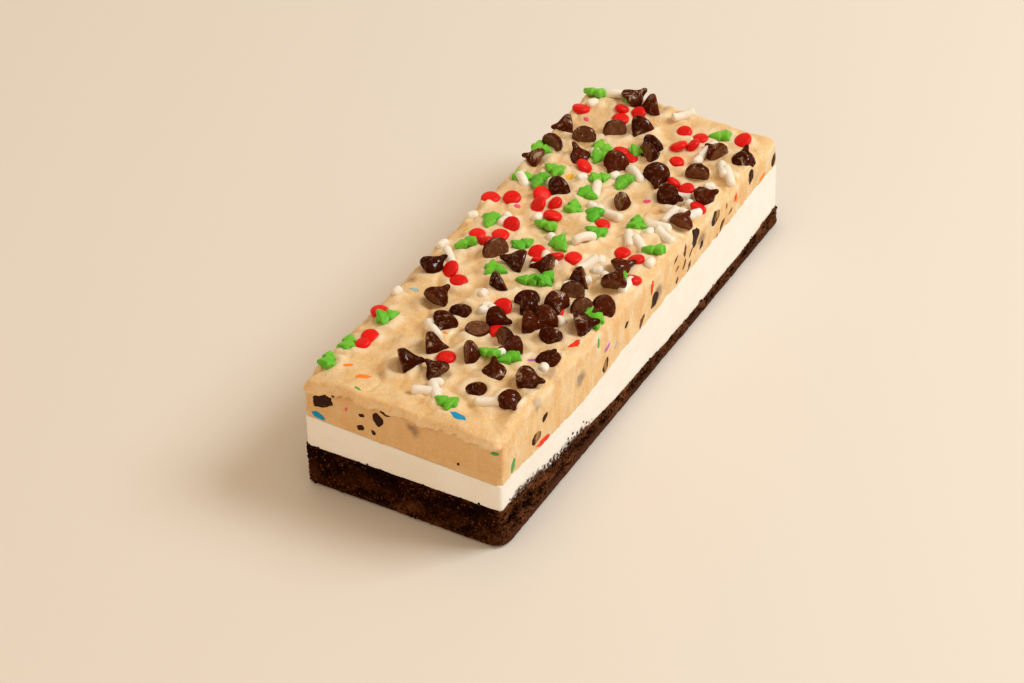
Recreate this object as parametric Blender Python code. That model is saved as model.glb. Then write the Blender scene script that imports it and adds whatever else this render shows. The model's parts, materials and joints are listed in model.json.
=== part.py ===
"""Ice cream sandwich bar of three layers: a brownie base, a layer of white ice cream and a thick top of
cookie dough, with chocolate chips, red discs, green trees and white rods pressed into the dough.

Metres, +Z up. The bar lies along Y with its front face towards -Y, and rests on the plane z = 0."""

import math
import random

import bmesh
import bpy
from mathutils import Euler, Matrix, Vector, noise

MM = 0.001

# The bar and the gap that keeps its layers apart.
BAR_WIDTH = 50.0 * MM
BAR_LENGTH = 132.5 * MM
LAYER_GAP = 0.3 * MM

# Heights of the faces between the layers, as (distance from the front, height) in mm, along each side.
BROWNIE_TOP_LEFT = ((0.0, 10.9), (60.0, 8.6), (132.5, 7.2))
BROWNIE_TOP_RIGHT = ((0.0, 11.0), (30.0, 7.0), (55.0, 4.8), (85.0, 3.5), (110.0, 3.8), (132.5, 5.4))
ICE_CREAM_TOP_LEFT = ((0.0, 19.0), (132.5, 17.0))
ICE_CREAM_TOP_RIGHT = ((0.0, 17.8), (35.0, 15.2), (65.0, 16.4), (132.5, 18.0))
DOUGH_TOP = ((0.0, 30.4), (132.5, 25.4))
LEFT_SAG = 2.2 * MM
LEFT_SAG_WIDTH = 14.0 * MM
LUMP_HEIGHT = 0.9 * MM
LUMP_SIZE = 9.0 * MM

# Edges of the layers.
BROWNIE_CELLS = (6, 28, 4)
BROWNIE_FOOT = 1.2 * MM
BROWNIE_LEFT_CORNERS = (1.6 * MM, 1.2 * MM)
BROWNIE_RIGHT_CORNERS = (4.2 * MM, 1.2 * MM)
BROWNIE_BACK_CORNERS = (1.4 * MM, 1.2 * MM)
BROWNIE_ROUGHNESS = 0.7 * MM
BITE_SIZE = 5.0 * MM
ICE_CREAM_CELLS = (4, 18, 2)
ICE_CREAM_INSET = 0.45 * MM
ICE_CREAM_CORNERS = (0.9 * MM, 0.9 * MM)
DOUGH_CELLS = (9, 26, 4)
DOUGH_INSET = 0.35 * MM
DOUGH_EDGE = 2.3 * MM
DOUGH_CORNERS = (1.2 * MM, 2.4 * MM)
DOUGH_ROUGHNESS = 0.3 * MM

# Toppings.
CHIP_RADIUS = 2.95 * MM
CHIP_HEIGHT = 5.4 * MM
CHIP_PROFILE = ((0.0, 0.0), (0.93, 0.0), (1.0, 0.24), (0.55, 0.62), (0.25, 0.88), (0.0, 1.0))
CHIP_SIDES = 7
CHIP_SIZES = (0.88, 1.06)
CHIP_BEND = 0.32
CHIP_LEANS = (10, 50, 65, 75, 80, 85, 90, 95, 100, 105, 110, 180)
CHIP_LEAN_STRAY = 8
CHIP_DEPTH = 1.8 * MM
CHIP_TIP_DEPTH = 3.2 * MM
TREE_HEIGHT = 5.6 * MM
TREE_WIDTH = 4.9 * MM
TREE_THICKNESS = 2.0 * MM
TREE_HALF = ((0.0, 1.0), (0.3, 0.58), (0.2, 0.52), (0.5, 0.16), (0.16, 0.12), (0.13, 0.0))
TREE_TOP_FACE = (0.86, 0.88)
TREE_MIDDLE = 0.45
TREE_LEAN = 32
DISC_RADIUS = 2.1 * MM
DISC_THICKNESS = 1.7 * MM
DISC_SIDES = 7
DISC_SIZES = (0.85, 1.1)
DISC_LEAN = 45
ROD_RADIUS = 1.1 * MM
ROD_LENGTH = 7.0 * MM
ROD_END = 0.6
ROD_SIDES = 5
ROD_SIZES = (0.75, 1.0)
ROD_LEANS = (76, 100)
SPRINKLE_DEPTH = 0.55 * MM
SIDE_MARGIN = 0.6 * MM

# How the toppings are strewn: how far chips stray from their rows and the room of each kind, in millimetres.
SEED = 32
TRIES = 30
CHIP_STRAY = 0.9
CHIP_ROOM = 2.8
TREE_ROOM = 2.4
DISC_ROOM = 1.9
ROD_ROOM = 1.3

# Chips lie in loose rows: (distance from the front, first and last distance from the left, count).
CHIP_ROWS = (
    (13.2, 19.0, 45.4, 4), (21.3, 19.0, 46.5, 4), (30.6, 20.0, 44.3, 5), (37.2, 13.0, 42.0, 5),
    (46.5, 4.6, 4.6, 1), (43.0, 31.2, 45.0, 3), (48.0, 23.2, 43.6, 4), (53.5, 39.3, 46.5, 2),
    (58.5, 16.4, 45.0, 5), (66.1, 41.4, 41.4, 1), (89.0, 15.4, 46.0, 3), (97.0, 3.6, 37.5, 2),
    (103.4, 4.4, 31.8, 4), (108.8, 10.0, 40.7, 3), (101.0, 46.0, 46.0, 1), (114.0, 3.6, 26.8, 3),
    (117.5, 41.5, 46.4, 1), (120.5, 19.6, 46.0, 2), (128.0, 11.4, 20.4, 2),
)

# Sprinkles lie in spots: (distance from the left, distance from the front, reach, count).
TREE_SPOTS = (
    (3.8, 7.4, 0.5, 1), (3.4, 15.0, 0.5, 1), (6.8, 25.4, 0.5, 1), (33.6, 6.8, 0.5, 1),
    (34.5, 26.8, 4.5, 2), (46.4, 46.5, 2.4, 2), (19.3, 52.1, 0.5, 1), (28.0, 55.7, 3.0, 2),
    (8.2, 58.6, 0.5, 1), (45.0, 63.9, 0.5, 1), (22.0, 68.3, 6.0, 3), (7.9, 68.9, 0.5, 1),
    (31.1, 76.1, 0.5, 1), (46.0, 76.4, 0.5, 1), (22.4, 84.2, 6.0, 3), (37.5, 84.6, 0.5, 1),
    (8.8, 91.3, 4.5, 3), (25.0, 96.0, 4.5, 2), (3.4, 101.4, 0.5, 1), (15.3, 105.0, 4.0, 2),
    (24.3, 110.7, 0.5, 1), (38.2, 125.4, 0.5, 1), (3.6, 127.1, 0.5, 1), (12.1, 129.0, 0.5, 1),
)
DISC_SPOTS = (
    (5.5, 17.0, 2.5, 2), (4.0, 28.0, 0.5, 1), (25.7, 20.0, 0.5, 1), (30.0, 37.5, 4.5, 2),
    (11.3, 46.0, 2.6, 2), (38.0, 45.0, 0.5, 1), (12.5, 64.5, 5.0, 4), (27.5, 64.5, 4.5, 4),
    (46.6, 64.0, 1.0, 1), (42.4, 73.0, 2.8, 2), (5.0, 78.5, 3.0, 2), (18.5, 82.5, 6.5, 4),
    (30.5, 80.0, 0.5, 1), (46.6, 97.0, 0.5, 1), (16.0, 99.0, 0.5, 1), (40.0, 102.5, 3.5, 2),
    (23.0, 108.0, 3.0, 2), (33.6, 110.7, 0.5, 1), (3.2, 121.0, 0.5, 1), (16.0, 121.5, 4.5, 3),
    (31.5, 121.0, 5.0, 4), (42.9, 126.0, 0.5, 1),
)
ROD_SPOTS = (
    (28.0, 7.9, 1.5, 2), (41.8, 11.0, 0.5, 1), (18.9, 25.4, 0.5, 1), (6.8, 53.2, 0.5, 1),
    (37.0, 58.0, 0.5, 1), (44.8, 60.5, 2.8, 2), (35.0, 65.0, 0.5, 1), (30.7, 72.9, 0.5, 1),
    (39.6, 77.9, 2.5, 2), (31.1, 85.0, 0.5, 1), (45.0, 85.8, 2.5, 2), (5.7, 87.9, 0.5, 1),
    (44.5, 91.8, 3.0, 3), (22.5, 91.8, 0.5, 1), (40.7, 99.3, 0.5, 1), (27.5, 101.4, 0.5, 1),
    (46.5, 113.0, 2.8, 2), (38.6, 117.9, 0.5, 1), (7.1, 128.6, 0.5, 1), (26.1, 128.2, 0.5, 1),
)


def eased(knots, y):
    """Height at y of a line through the knots, eased at each knot."""
    along = (y + BAR_LENGTH / 2) / MM
    along = min(max(along, knots[0][0]), knots[-1][0])
    for (start, low), (end, high) in zip(knots, knots[1:]):
        if along <= end:
            share = (along - start) / (end - start)
            share = share * share * (3 - 2 * share)
            return (low + (high - low) * share) * MM
    return knots[-1][1] * MM


def between(left, right, x, y):
    """Height at (x, y) of a face that runs from the left side's line to the right side's."""
    across = x / BAR_WIDTH + 0.5
    return eased(left, y) * (1 - across) + eased(right, y) * across


def brownie_top(x, y):
    return between(BROWNIE_TOP_LEFT, BROWNIE_TOP_RIGHT, x, y)


def ice_cream_top(x, y):
    return between(ICE_CREAM_TOP_LEFT, ICE_CREAM_TOP_RIGHT, x, y)


def dough_top(x, y):
    """Lumpy top of the dough, lower along the left side towards the front."""
    from_left = min((x + BAR_WIDTH / 2) / LEFT_SAG_WIDTH, 1.0)
    to_front = 0.5 - y / BAR_LENGTH
    sag = LEFT_SAG * to_front * (1 - from_left) ** 2
    lump = LUMP_HEIGHT * noise.noise(Vector((x, y, 0)) / LUMP_SIZE)
    return eased(DOUGH_TOP, y) - sag + lump


def cut_block(cells):
    """Cube from 0 to 1 on each axis, with its faces cut into cells."""
    block = bmesh.new()
    bmesh.ops.create_cube(block, size=1.0, matrix=Matrix.Translation((0.5, 0.5, 0.5)))
    for axis, count in enumerate(cells):
        normal = Vector((0, 0, 0))
        normal[axis] = 1
        for cut in range(1, count):
            bmesh.ops.bisect_plane(
                block, geom=block.verts[:] + block.edges[:] + block.faces[:],
                plane_co=normal * cut / count, plane_no=normal,
            )
    return block


def in_corner(x, y, half_width, half_length, radius):
    """Moves a point of a rectangle so that the rectangle's corners become round."""
    middle_x = min(max(x, radius - half_width), half_width - radius)
    middle_y = min(max(y, radius - half_length), half_length - radius)
    out = Vector((x - middle_x, y - middle_y))
    if out.x and out.y:
        out *= max(abs(out.x), abs(out.y)) / out.length
    return middle_x + out.x, middle_y + out.y


def new_object(name, mesh, material, collection):
    """Object made from a bmesh, which is freed."""
    data = bpy.data.meshes.new(name)
    mesh.to_mesh(data)
    mesh.free()
    data.materials.append(material)
    made = bpy.data.objects.new(name, data)
    collection.objects.link(made)
    return made


def new_material(name, colour, roughness):
    material = bpy.data.materials.new(name)
    material.use_nodes = True
    shader = material.node_tree.nodes["Principled BSDF"]
    shader.inputs["Base Color"].default_value = (*colour, 1.0)
    shader.inputs["Roughness"].default_value = roughness
    shader.inputs["Metallic"].default_value = 0.0
    material.diffuse_color = (*colour, 1.0)
    return material


def layer(name, cells, profile, faces, corners, roughness, material):
    """Slab between two faces. The profile has (inset, share of the height, offset) for each level of the
    sides, and corners the radius at the bottom and at the top, at the front left, front right and back."""
    lower, upper = faces
    front_left, front_right, back = corners
    block = cut_block(cells)
    for vertex in block.verts:
        u, v, w = vertex.co
        inset, share, offset = profile[round(w * cells[2])]
        half_width = BAR_WIDTH / 2 - inset
        half_length = BAR_LENGTH / 2 - inset
        low_radius, high_radius = back if v > 0.5 else front_right if u > 0.5 else front_left
        radius = low_radius + (high_radius - low_radius) * share
        x, y = (2 * u - 1) * half_width, (2 * v - 1) * half_length
        x, y = in_corner(x, y, half_width, half_length, radius)
        bottom, top = lower(x, y), upper(x, y)
        z = bottom + (top - bottom) * share + offset
        if u in (0, 1) or v in (0, 1):
            bite = 1 - roughness * abs(noise.noise(Vector((x, y, z)) / BITE_SIZE)) / (BAR_WIDTH / 2)
            long_bite = 1 - (1 - bite) * BAR_WIDTH / BAR_LENGTH
            x, y = x * bite, y * long_bite
        vertex.co = (x, y, z)
    bmesh.ops.recalc_face_normals(block, faces=block.faces[:])
    return new_object(name, block, material, bpy.context.scene.collection)


def turned(profile, sides):
    """Solid of revolution about Z, from a profile of (radius, height) that starts and ends on the axis."""
    solid = bmesh.new()
    points = [solid.verts.new((radius, 0, height)) for radius, height in profile]
    edges = [solid.edges.new(pair) for pair in zip(points, points[1:])]
    bmesh.ops.spin(
        solid, geom=points + edges, axis=(0, 0, 1), cent=(0, 0, 0), angle=2 * math.pi, steps=sides,
        use_merge=True,
    )
    bmesh.ops.remove_doubles(solid, verts=solid.verts[:], dist=0.01 * MM)
    bmesh.ops.recalc_face_normals(solid, faces=solid.faces[:])
    return solid


def chip(draw):
    """Chocolate drop with a flat base and a bent tip, leaning over or lying on its side."""
    size = draw.uniform(*CHIP_SIZES)
    profile = [(radius * CHIP_RADIUS * size, height * CHIP_HEIGHT * size) for radius, height in CHIP_PROFILE]
    solid = turned(profile, CHIP_SIDES)
    bend = draw.uniform(0.0, CHIP_BEND)
    for vertex in solid.verts:
        vertex.co.x += bend * CHIP_HEIGHT * (vertex.co.z / CHIP_HEIGHT) ** 2
    lean = draw.choice(CHIP_LEANS) + draw.uniform(-CHIP_LEAN_STRAY, CHIP_LEAN_STRAY)
    return solid, math.radians(lean), CHIP_DEPTH if lean < 150 else CHIP_TIP_DEPTH


def tree(draw):
    """Flat sugar tree with two tiers of branches and a trunk."""
    outline = [(x, y) for x, y in TREE_HALF] + [(-x, y) for x, y in reversed(TREE_HALF[1:])]
    solid = bmesh.new()
    points = [
        solid.verts.new((x * TREE_WIDTH, (y - TREE_MIDDLE) * TREE_HEIGHT, -TREE_THICKNESS / 2))
        for x, y in outline
    ]
    face = solid.faces.new(points)
    grown = bmesh.ops.extrude_face_region(solid, geom=[face])["geom"]
    top = [item for item in grown if isinstance(item, bmesh.types.BMVert)]
    bmesh.ops.translate(solid, verts=top, vec=(0, 0, TREE_THICKNESS))
    bmesh.ops.scale(solid, verts=top, vec=(*TREE_TOP_FACE, 1.0))
    bmesh.ops.recalc_face_normals(solid, faces=solid.faces[:])
    return solid, math.radians(draw.uniform(0, TREE_LEAN)), SPRINKLE_DEPTH


def disc(draw):
    """Round sugar disc with a soft edge."""
    radius = DISC_RADIUS * draw.uniform(*DISC_SIZES)
    half = DISC_THICKNESS / 2
    solid = turned(((0, -half), (radius, -0.2 * half), (0.75 * radius, half), (0, half)), DISC_SIDES)
    return solid, math.radians(draw.uniform(0, DISC_LEAN)), SPRINKLE_DEPTH


def rod(draw):
    """Sugar rod with round ends."""
    half = ROD_LENGTH * draw.uniform(*ROD_SIZES) / 2
    straight = half - ROD_END * ROD_RADIUS
    solid = turned(((0, -half), (ROD_RADIUS, -straight), (ROD_RADIUS, straight), (0, half)), ROD_SIDES)
    return solid, math.radians(draw.uniform(*ROD_LEANS)), SPRINKLE_DEPTH


def inside(place, reaches, half_size):
    """The place, moved where needed so that reaches to both ways from it stay within the half size."""
    return min(max(place, -half_size - min(reaches)), half_size - max(reaches))


def lay(shape, draw, place, material, heap):
    """One topping, tipped and turned, pressed into the dough by its own depth and held clear of the sides."""
    solid, lean, depth = shape(draw)
    tip = Euler((0, lean, draw.uniform(0, 2 * math.pi))).to_matrix().to_4x4()
    bmesh.ops.transform(solid, matrix=tip, verts=solid.verts[:])
    half_width, half_length = BAR_WIDTH / 2, BAR_LENGTH / 2
    x = inside(place.x * MM - half_width, [vertex.co.x for vertex in solid.verts], half_width - SIDE_MARGIN)
    y = inside(place.y * MM - half_length, [vertex.co.y for vertex in solid.verts], half_length - SIDE_MARGIN)
    low = min(vertex.co.z for vertex in solid.verts)
    bmesh.ops.translate(solid, verts=solid.verts[:], vec=(x, y, dough_top(x, y) - low - depth))
    new_object(shape.__name__, solid, material, heap)


def chip_places(draw):
    """Places of the chips, which stray a little from their rows."""
    found = []
    for away, first, last, count in CHIP_ROWS:
        for number in range(count):
            across = first + (last - first) * number / max(count - 1, 1)
            found.append(Vector((across + draw.uniform(-CHIP_STRAY, CHIP_STRAY),
                                 away + draw.uniform(-CHIP_STRAY, CHIP_STRAY))))
    return found


def sprinkle_places(draw, spots, room, laid):
    """Places of one kind of sprinkle. Each is the freest of its tries in a spot, and joins those laid."""
    found = []
    for across, away, reach, count in spots:
        for _ in range(count):
            tries = []
            for _ in range(TRIES):
                way = reach * math.sqrt(draw.random())
                angle = draw.uniform(0, 2 * math.pi)
                place = Vector((across + way * math.cos(angle), away + way * math.sin(angle)))
                free = min((place - other).length - other_room for other, other_room in laid)
                tries.append((free, *place))
            found.append(Vector(max(tries)[1:]))
            laid.append((found[-1], room))
    return found


def press_in_toppings(dough, material):
    """Lays every topping on the dough, the largest kind first, and fuses them into it."""
    heap = bpy.data.collections.new("toppings")
    bpy.context.scene.collection.children.link(heap)
    draw = random.Random(SEED)
    chips = chip_places(draw)
    laid = [(place, CHIP_ROOM) for place in chips]
    for place in chips:
        lay(chip, draw, place, material, heap)
    sprinkles = ((tree, TREE_ROOM, TREE_SPOTS), (disc, DISC_ROOM, DISC_SPOTS), (rod, ROD_ROOM, ROD_SPOTS))
    for shape, room, spots in sprinkles:
        for place in sprinkle_places(draw, spots, room, laid):
            lay(shape, draw, place, material, heap)

    union = dough.modifiers.new("toppings", "BOOLEAN")
    union.operation = "UNION"
    union.operand_type = "COLLECTION"
    union.collection = heap
    union.solver = "MANIFOLD"
    bpy.context.view_layer.update()
    fused = bpy.data.meshes.new_from_object(dough.evaluated_get(bpy.context.evaluated_depsgraph_get()))
    dough.modifiers.clear()
    dough.data = fused
    for piece in heap.objects[:]:
        bpy.data.objects.remove(piece)
    bpy.data.collections.remove(heap)


def build():
    for item in bpy.data.objects[:]:
        bpy.data.objects.remove(item)

    layer(
        "brownie_base", BROWNIE_CELLS,
        ((BROWNIE_FOOT, 0.0, 0.0), (0.2 * BROWNIE_FOOT, 0.0, 0.8 * BROWNIE_FOOT), (0.0, 0.5, 0.0),
         (0.0, 0.85, 0.0), (0.2 * BROWNIE_FOOT, 1.0, 0.0)),
        (lambda x, y: 0.0, brownie_top),
        (BROWNIE_LEFT_CORNERS, BROWNIE_RIGHT_CORNERS, BROWNIE_BACK_CORNERS), BROWNIE_ROUGHNESS,
        new_material("brownie", (0.030, 0.012, 0.007), 0.85),
    )
    layer(
        "ice_cream_layer", ICE_CREAM_CELLS,
        ((ICE_CREAM_INSET, 0.0, 0.0), (ICE_CREAM_INSET, 0.5, 0.0), (ICE_CREAM_INSET, 1.0, 0.0)),
        (lambda x, y: brownie_top(x, y) + LAYER_GAP, ice_cream_top),
        (ICE_CREAM_CORNERS,) * 3, 0.0, new_material("ice_cream", (0.87, 0.80, 0.68), 0.45),
    )
    dough_material = new_material("cookie_dough", (0.66, 0.44, 0.24), 0.55)
    dough = layer(
        "cookie_dough", DOUGH_CELLS,
        ((DOUGH_INSET, 0.0, 0.0), (DOUGH_INSET, 0.4, 0.0), (DOUGH_INSET, 1.0, -DOUGH_EDGE),
         (DOUGH_INSET + 0.3 * DOUGH_EDGE, 1.0, -0.3 * DOUGH_EDGE), (DOUGH_INSET + DOUGH_EDGE, 1.0, 0.0)),
        (lambda x, y: ice_cream_top(x, y) + LAYER_GAP, dough_top),
        (DOUGH_CORNERS,) * 3, DOUGH_ROUGHNESS, dough_material,
    )
    press_in_toppings(dough, dough_material)


build()
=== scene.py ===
"""Looks of an ice cream sandwich bar: brownie, ice cream and cookie dough, with the chocolate chips and sugar
pieces pressed into the dough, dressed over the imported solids.

Metres, +Z up. The bar lies along Y with its front face towards -Y."""

import json
import math
import random

import bmesh
import bpy
from mathutils import Euler, Matrix, Vector, kdtree, noise
from mathutils.bvhtree import BVHTree

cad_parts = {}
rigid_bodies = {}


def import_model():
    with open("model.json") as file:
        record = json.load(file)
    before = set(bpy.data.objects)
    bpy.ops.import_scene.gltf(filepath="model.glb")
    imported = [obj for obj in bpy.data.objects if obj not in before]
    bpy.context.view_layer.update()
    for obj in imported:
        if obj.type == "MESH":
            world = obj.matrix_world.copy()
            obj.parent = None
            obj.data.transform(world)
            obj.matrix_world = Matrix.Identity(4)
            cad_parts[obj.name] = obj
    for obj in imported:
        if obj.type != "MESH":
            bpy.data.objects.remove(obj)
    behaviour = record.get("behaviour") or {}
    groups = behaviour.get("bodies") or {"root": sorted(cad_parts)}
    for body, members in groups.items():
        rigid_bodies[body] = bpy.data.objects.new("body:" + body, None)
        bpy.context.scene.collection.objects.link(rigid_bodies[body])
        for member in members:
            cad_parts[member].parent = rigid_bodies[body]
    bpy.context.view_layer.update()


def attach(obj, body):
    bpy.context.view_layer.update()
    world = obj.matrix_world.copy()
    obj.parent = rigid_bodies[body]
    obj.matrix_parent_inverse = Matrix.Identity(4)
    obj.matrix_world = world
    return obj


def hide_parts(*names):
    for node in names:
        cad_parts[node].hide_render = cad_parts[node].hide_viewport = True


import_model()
MM = 0.001


# Camera: a long lens at the front right of the bar, looking down on its top, front face and right side.
# Its place comes from the bar's own edges as they converge in the picture.
PICTURE_WIDTH = 1024
FOCAL_LENGTH_PIXELS = 3600
SENSOR_WIDTH = 36.0
CAMERA_AZIMUTH = math.radians(31.1)
CAMERA_ELEVATION = math.radians(38.79)
CAMERA_ROLL = math.radians(-2.28)
CAMERA_DISTANCE = 796.2 * MM
CAMERA_TARGET = Vector((3.6, -23.9, 20.0)) * MM

level = math.cos(CAMERA_ELEVATION)
back = Vector((
    math.sin(CAMERA_AZIMUTH) * level, -math.cos(CAMERA_AZIMUTH) * level, math.sin(CAMERA_ELEVATION),
))
right = Vector((math.cos(CAMERA_AZIMUTH), math.sin(CAMERA_AZIMUTH), 0))
upward = back.cross(right)
rolled_right = right * math.cos(CAMERA_ROLL) + upward * math.sin(CAMERA_ROLL)
rolled_up = upward * math.cos(CAMERA_ROLL) - right * math.sin(CAMERA_ROLL)
camera = bpy.data.objects.new("camera", bpy.data.cameras.new("camera"))
camera.data.sensor_width = SENSOR_WIDTH
camera.data.lens = FOCAL_LENGTH_PIXELS / PICTURE_WIDTH * SENSOR_WIDTH
camera.matrix_world = Matrix.Translation(CAMERA_TARGET + back * CAMERA_DISTANCE) @ Matrix(
    (rolled_right, rolled_up, back)
).transposed().to_4x4()
bpy.context.scene.collection.objects.link(camera)
bpy.context.scene.camera = camera


# Floor: a plain pale surface, matt, that reaches past the picture on every side.
FLOOR_SIZE = 3.0
FLOOR_COLOUR = (0.80, 0.74, 0.66)


def node(tree, kind, inputs=(), **properties):
    """Node with its properties set and each input given a value or joined to another node's output."""
    made = tree.nodes.new(kind)
    for name, value in properties.items():
        setattr(made, name, value)
    for name, value in dict(inputs).items():
        if isinstance(value, bpy.types.NodeSocket):
            tree.links.new(value, made.inputs[name])
        else:
            made.inputs[name].default_value = value
    return made


def new_material(name, **values):
    """Material whose Principled shader has these values. Gives the material, its tree and the shader."""
    material = bpy.data.materials.new(name)
    material.use_nodes = True
    shader = material.node_tree.nodes["Principled BSDF"]
    for socket, value in values.items():
        shader.inputs[socket.replace("_", " ")].default_value = value
    return material, material.node_tree, shader


def new_object(name, mesh, material):
    """Object made from a bmesh, which is freed."""
    data = bpy.data.meshes.new(name)
    mesh.to_mesh(data)
    mesh.free()
    data.materials.append(material)
    made = bpy.data.objects.new(name, data)
    bpy.context.scene.collection.objects.link(made)
    return made


floor_material, _, _ = new_material("pale floor", Base_Color=(*FLOOR_COLOUR, 1), Roughness=0.6)
floor_mesh = bmesh.new()
bmesh.ops.create_grid(floor_mesh, x_segments=1, y_segments=1, size=FLOOR_SIZE / 2)
floor = new_object("floor", floor_mesh, floor_material)


# Studio light: a soft window of cool white light from the right and behind, a warm surround, and a low warm
# fill that reaches the shaded front face.
KEY_PLACE = (0.62, 0.36, 0.74)
KEY_SIZE = 0.46
KEY_POWER = 7.3
KEY_COLOUR = (0.90, 0.96, 1.0)
FILL_PLACE = (-0.10, -0.80, 0.34)
FILL_SIZE = 0.60
FILL_POWER = 0.92
FILL_COLOUR = (1.0, 0.66, 0.40)
SURROUND_COLOUR = (1.0, 0.79, 0.57, 1)
SURROUND_STRENGTH = 0.63


def soft_light(name, place, size, power, colour):
    """Square light at a place, turned towards the bar."""
    light = bpy.data.lights.new(name, "AREA")
    light.size = size
    light.energy = power
    light.color = colour
    lamp = bpy.data.objects.new(name, light)
    lamp.location = place
    lamp.rotation_euler = Vector(place).to_track_quat("Z", "Y").to_euler()
    bpy.context.scene.collection.objects.link(lamp)


soft_light("key light", KEY_PLACE, KEY_SIZE, KEY_POWER, KEY_COLOUR)
soft_light("front fill", FILL_PLACE, FILL_SIZE, FILL_POWER, FILL_COLOUR)
world = bpy.data.worlds.new("surround")
world.use_nodes = True
surround = world.node_tree.nodes["Background"].inputs
surround["Color"].default_value = SURROUND_COLOUR
surround["Strength"].default_value = SURROUND_STRENGTH
bpy.context.scene.world = world
bpy.context.scene.view_settings.view_transform = "Standard"


# Brownie base: a sheet of dark baked brownie cut with a knife, so its sides show open crumb, with a smooth
# baked skin along the bottom edge. It thins towards the back on the right side. It stands for the solid
# brownie_base, whose outline, foot and top it keeps.
BAR_WIDTH = 50.0 * MM
BAR_LENGTH = 132.5 * MM
BROWNIE_TOP_LEFT = ((0.0, 10.9), (60.0, 8.6), (132.5, 7.2))
BROWNIE_TOP_RIGHT = ((0.0, 11.0), (30.0, 7.0), (55.0, 4.8), (85.0, 3.5), (110.0, 3.8), (132.5, 5.4))
BROWNIE_FOOT = 1.2 * MM
BROWNIE_EDGE = 0.5 * MM
BROWNIE_LEFT_CORNERS = (1.6 * MM, 1.2 * MM)
BROWNIE_RIGHT_CORNERS = (4.2 * MM, 1.2 * MM)
BROWNIE_BACK_CORNERS = (1.4 * MM, 1.2 * MM)
BROWNIE_SKIN = 1.0 * MM
KNIFED_SKIN = 2.1 * MM
ON_RIGHT = (0.46, 0.485)
SIDE_ARC = 0.22
BROWNIE_STEPS = (140, 400, 38)
CRUMB_LUMPS = ((0.26, 0.8), (0.30, 1.9), (0.30, 4.5))
PIT_SIZE = 1.9 * MM
PIT_DEPTH = 1.6
HOLLOW_DEPTH = 1.9
HOLLOW_FOOT = (0.20, 0.32)
HOLLOW_TOP = (0.48, 0.80)
# The darkest crumb; it is also painted into the torn hollows as shade.
BROWNIE_DARK = (0.0036, 0.0011, 0.0004, 1)
BROWNIE_BROWN = (0.044, 0.0110, 0.0024, 1)
BROWNIE_CRUMB = (0.150, 0.048, 0.015, 1)
BROWNIE_SMEARED = (0.195, 0.070, 0.029, 1)
BROWNIE_BAKED = (0.078, 0.029, 0.0140, 1)


def eased(knots, y):
    """Height at y of a line through the knots, eased at each knot."""
    along = (y + BAR_LENGTH / 2) / MM
    along = min(max(along, knots[0][0]), knots[-1][0])
    for (start, low), (end, high) in zip(knots, knots[1:]):
        if along <= end:
            share = (along - start) / (end - start)
            share = share * share * (3 - 2 * share)
            return (low + (high - low) * share) * MM
    return knots[-1][1] * MM


def between(left, right, x, y):
    """Height at (x, y) of a face that runs from the left side's line to the right side's."""
    across = x / BAR_WIDTH + 0.5
    return eased(left, y) * (1 - across) + eased(right, y) * across


def brownie_top(x, y):
    return between(BROWNIE_TOP_LEFT, BROWNIE_TOP_RIGHT, x, y)


def smooth(low, high, value):
    """Rises smoothly from 0 to 1 as value goes from low to high."""
    share = min(max((value - low) / (high - low), 0.0), 1.0)
    return share * share * (3 - 2 * share)


def relief(point, size):
    """Smooth random height from about -1 to 1, over lumps of that size."""
    return noise.noise(Vector(point) / size)


def lumpy(point, lumps):
    """Random height of several sizes of lumps together, each given as (height, size in millimetres)."""
    return sum(height * relief(point, size * MM) for height, size in lumps)


def in_corner(u, v, inset, radius):
    """Point of the bar's outline, drawn in by inset and with round corners, and its outward way. u and v go
    from -1 to 1 across and along the bar."""
    half_width = BAR_WIDTH / 2 - inset
    half_length = BAR_LENGTH / 2 - inset
    x, y = u * half_width, v * half_length
    middle = Vector((
        min(max(x, radius - half_width), half_width - radius),
        min(max(y, radius - half_length), half_length - radius),
    ))
    out = Vector((x, y)) - middle
    if out.x and out.y:
        out *= max(abs(out.x), abs(out.y)) / out.length
    spot = middle + out
    way = out.normalized() if abs(u) == 1 or abs(v) == 1 else Vector((0, 0))
    return spot.x, spot.y, way


def side_line(share, bottom, top, foot, edge, roundness=1.0):
    """Inset and height on a side that is rounded at its foot and its top edge. share goes up from 0 to 1. A
    roundness under 1 makes the top edge squarer."""
    if share < SIDE_ARC:
        angle = math.pi / 2 * share / SIDE_ARC
        return foot * (1 - math.sin(angle)), bottom + foot * (1 - math.cos(angle))
    if share > 1 - SIDE_ARC:
        angle = math.pi / 2 * (1 - share) / SIDE_ARC
        return edge * (1 - math.sin(angle) ** roundness), top - edge * (1 - math.cos(angle) ** roundness)
    return 0.0, bottom + foot + (top - edge - bottom - foot) * (share - SIDE_ARC) / (1 - 2 * SIDE_ARC)


def walled_block(steps, place):
    """Closed block with a finely stepped side wall and plain caps. steps go across, along and up it."""
    across, along, up = steps
    rim = [(2 * step / across - 1, -1) for step in range(across)]
    rim += [(1, 2 * step / along - 1) for step in range(along)]
    rim += [(-u, -v) for u, v in rim]
    mesh = bmesh.new()
    rings = [[mesh.verts.new(place(u, v, level / up)) for u, v in rim] for level in range(up + 1)]
    for low, high in zip(rings, rings[1:]):
        for n in range(len(rim)):
            mesh.faces.new((low[n - 1], low[n], high[n], high[n - 1])).smooth = True
    mesh.faces.new(reversed(rings[0]))
    mesh.faces.new(rings[-1])
    return mesh


def knifed(way):
    """How far a side is one of the two that the knife dragged along, from 0 to 1."""
    return smooth(0.5, 1.0, way.x)


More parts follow.
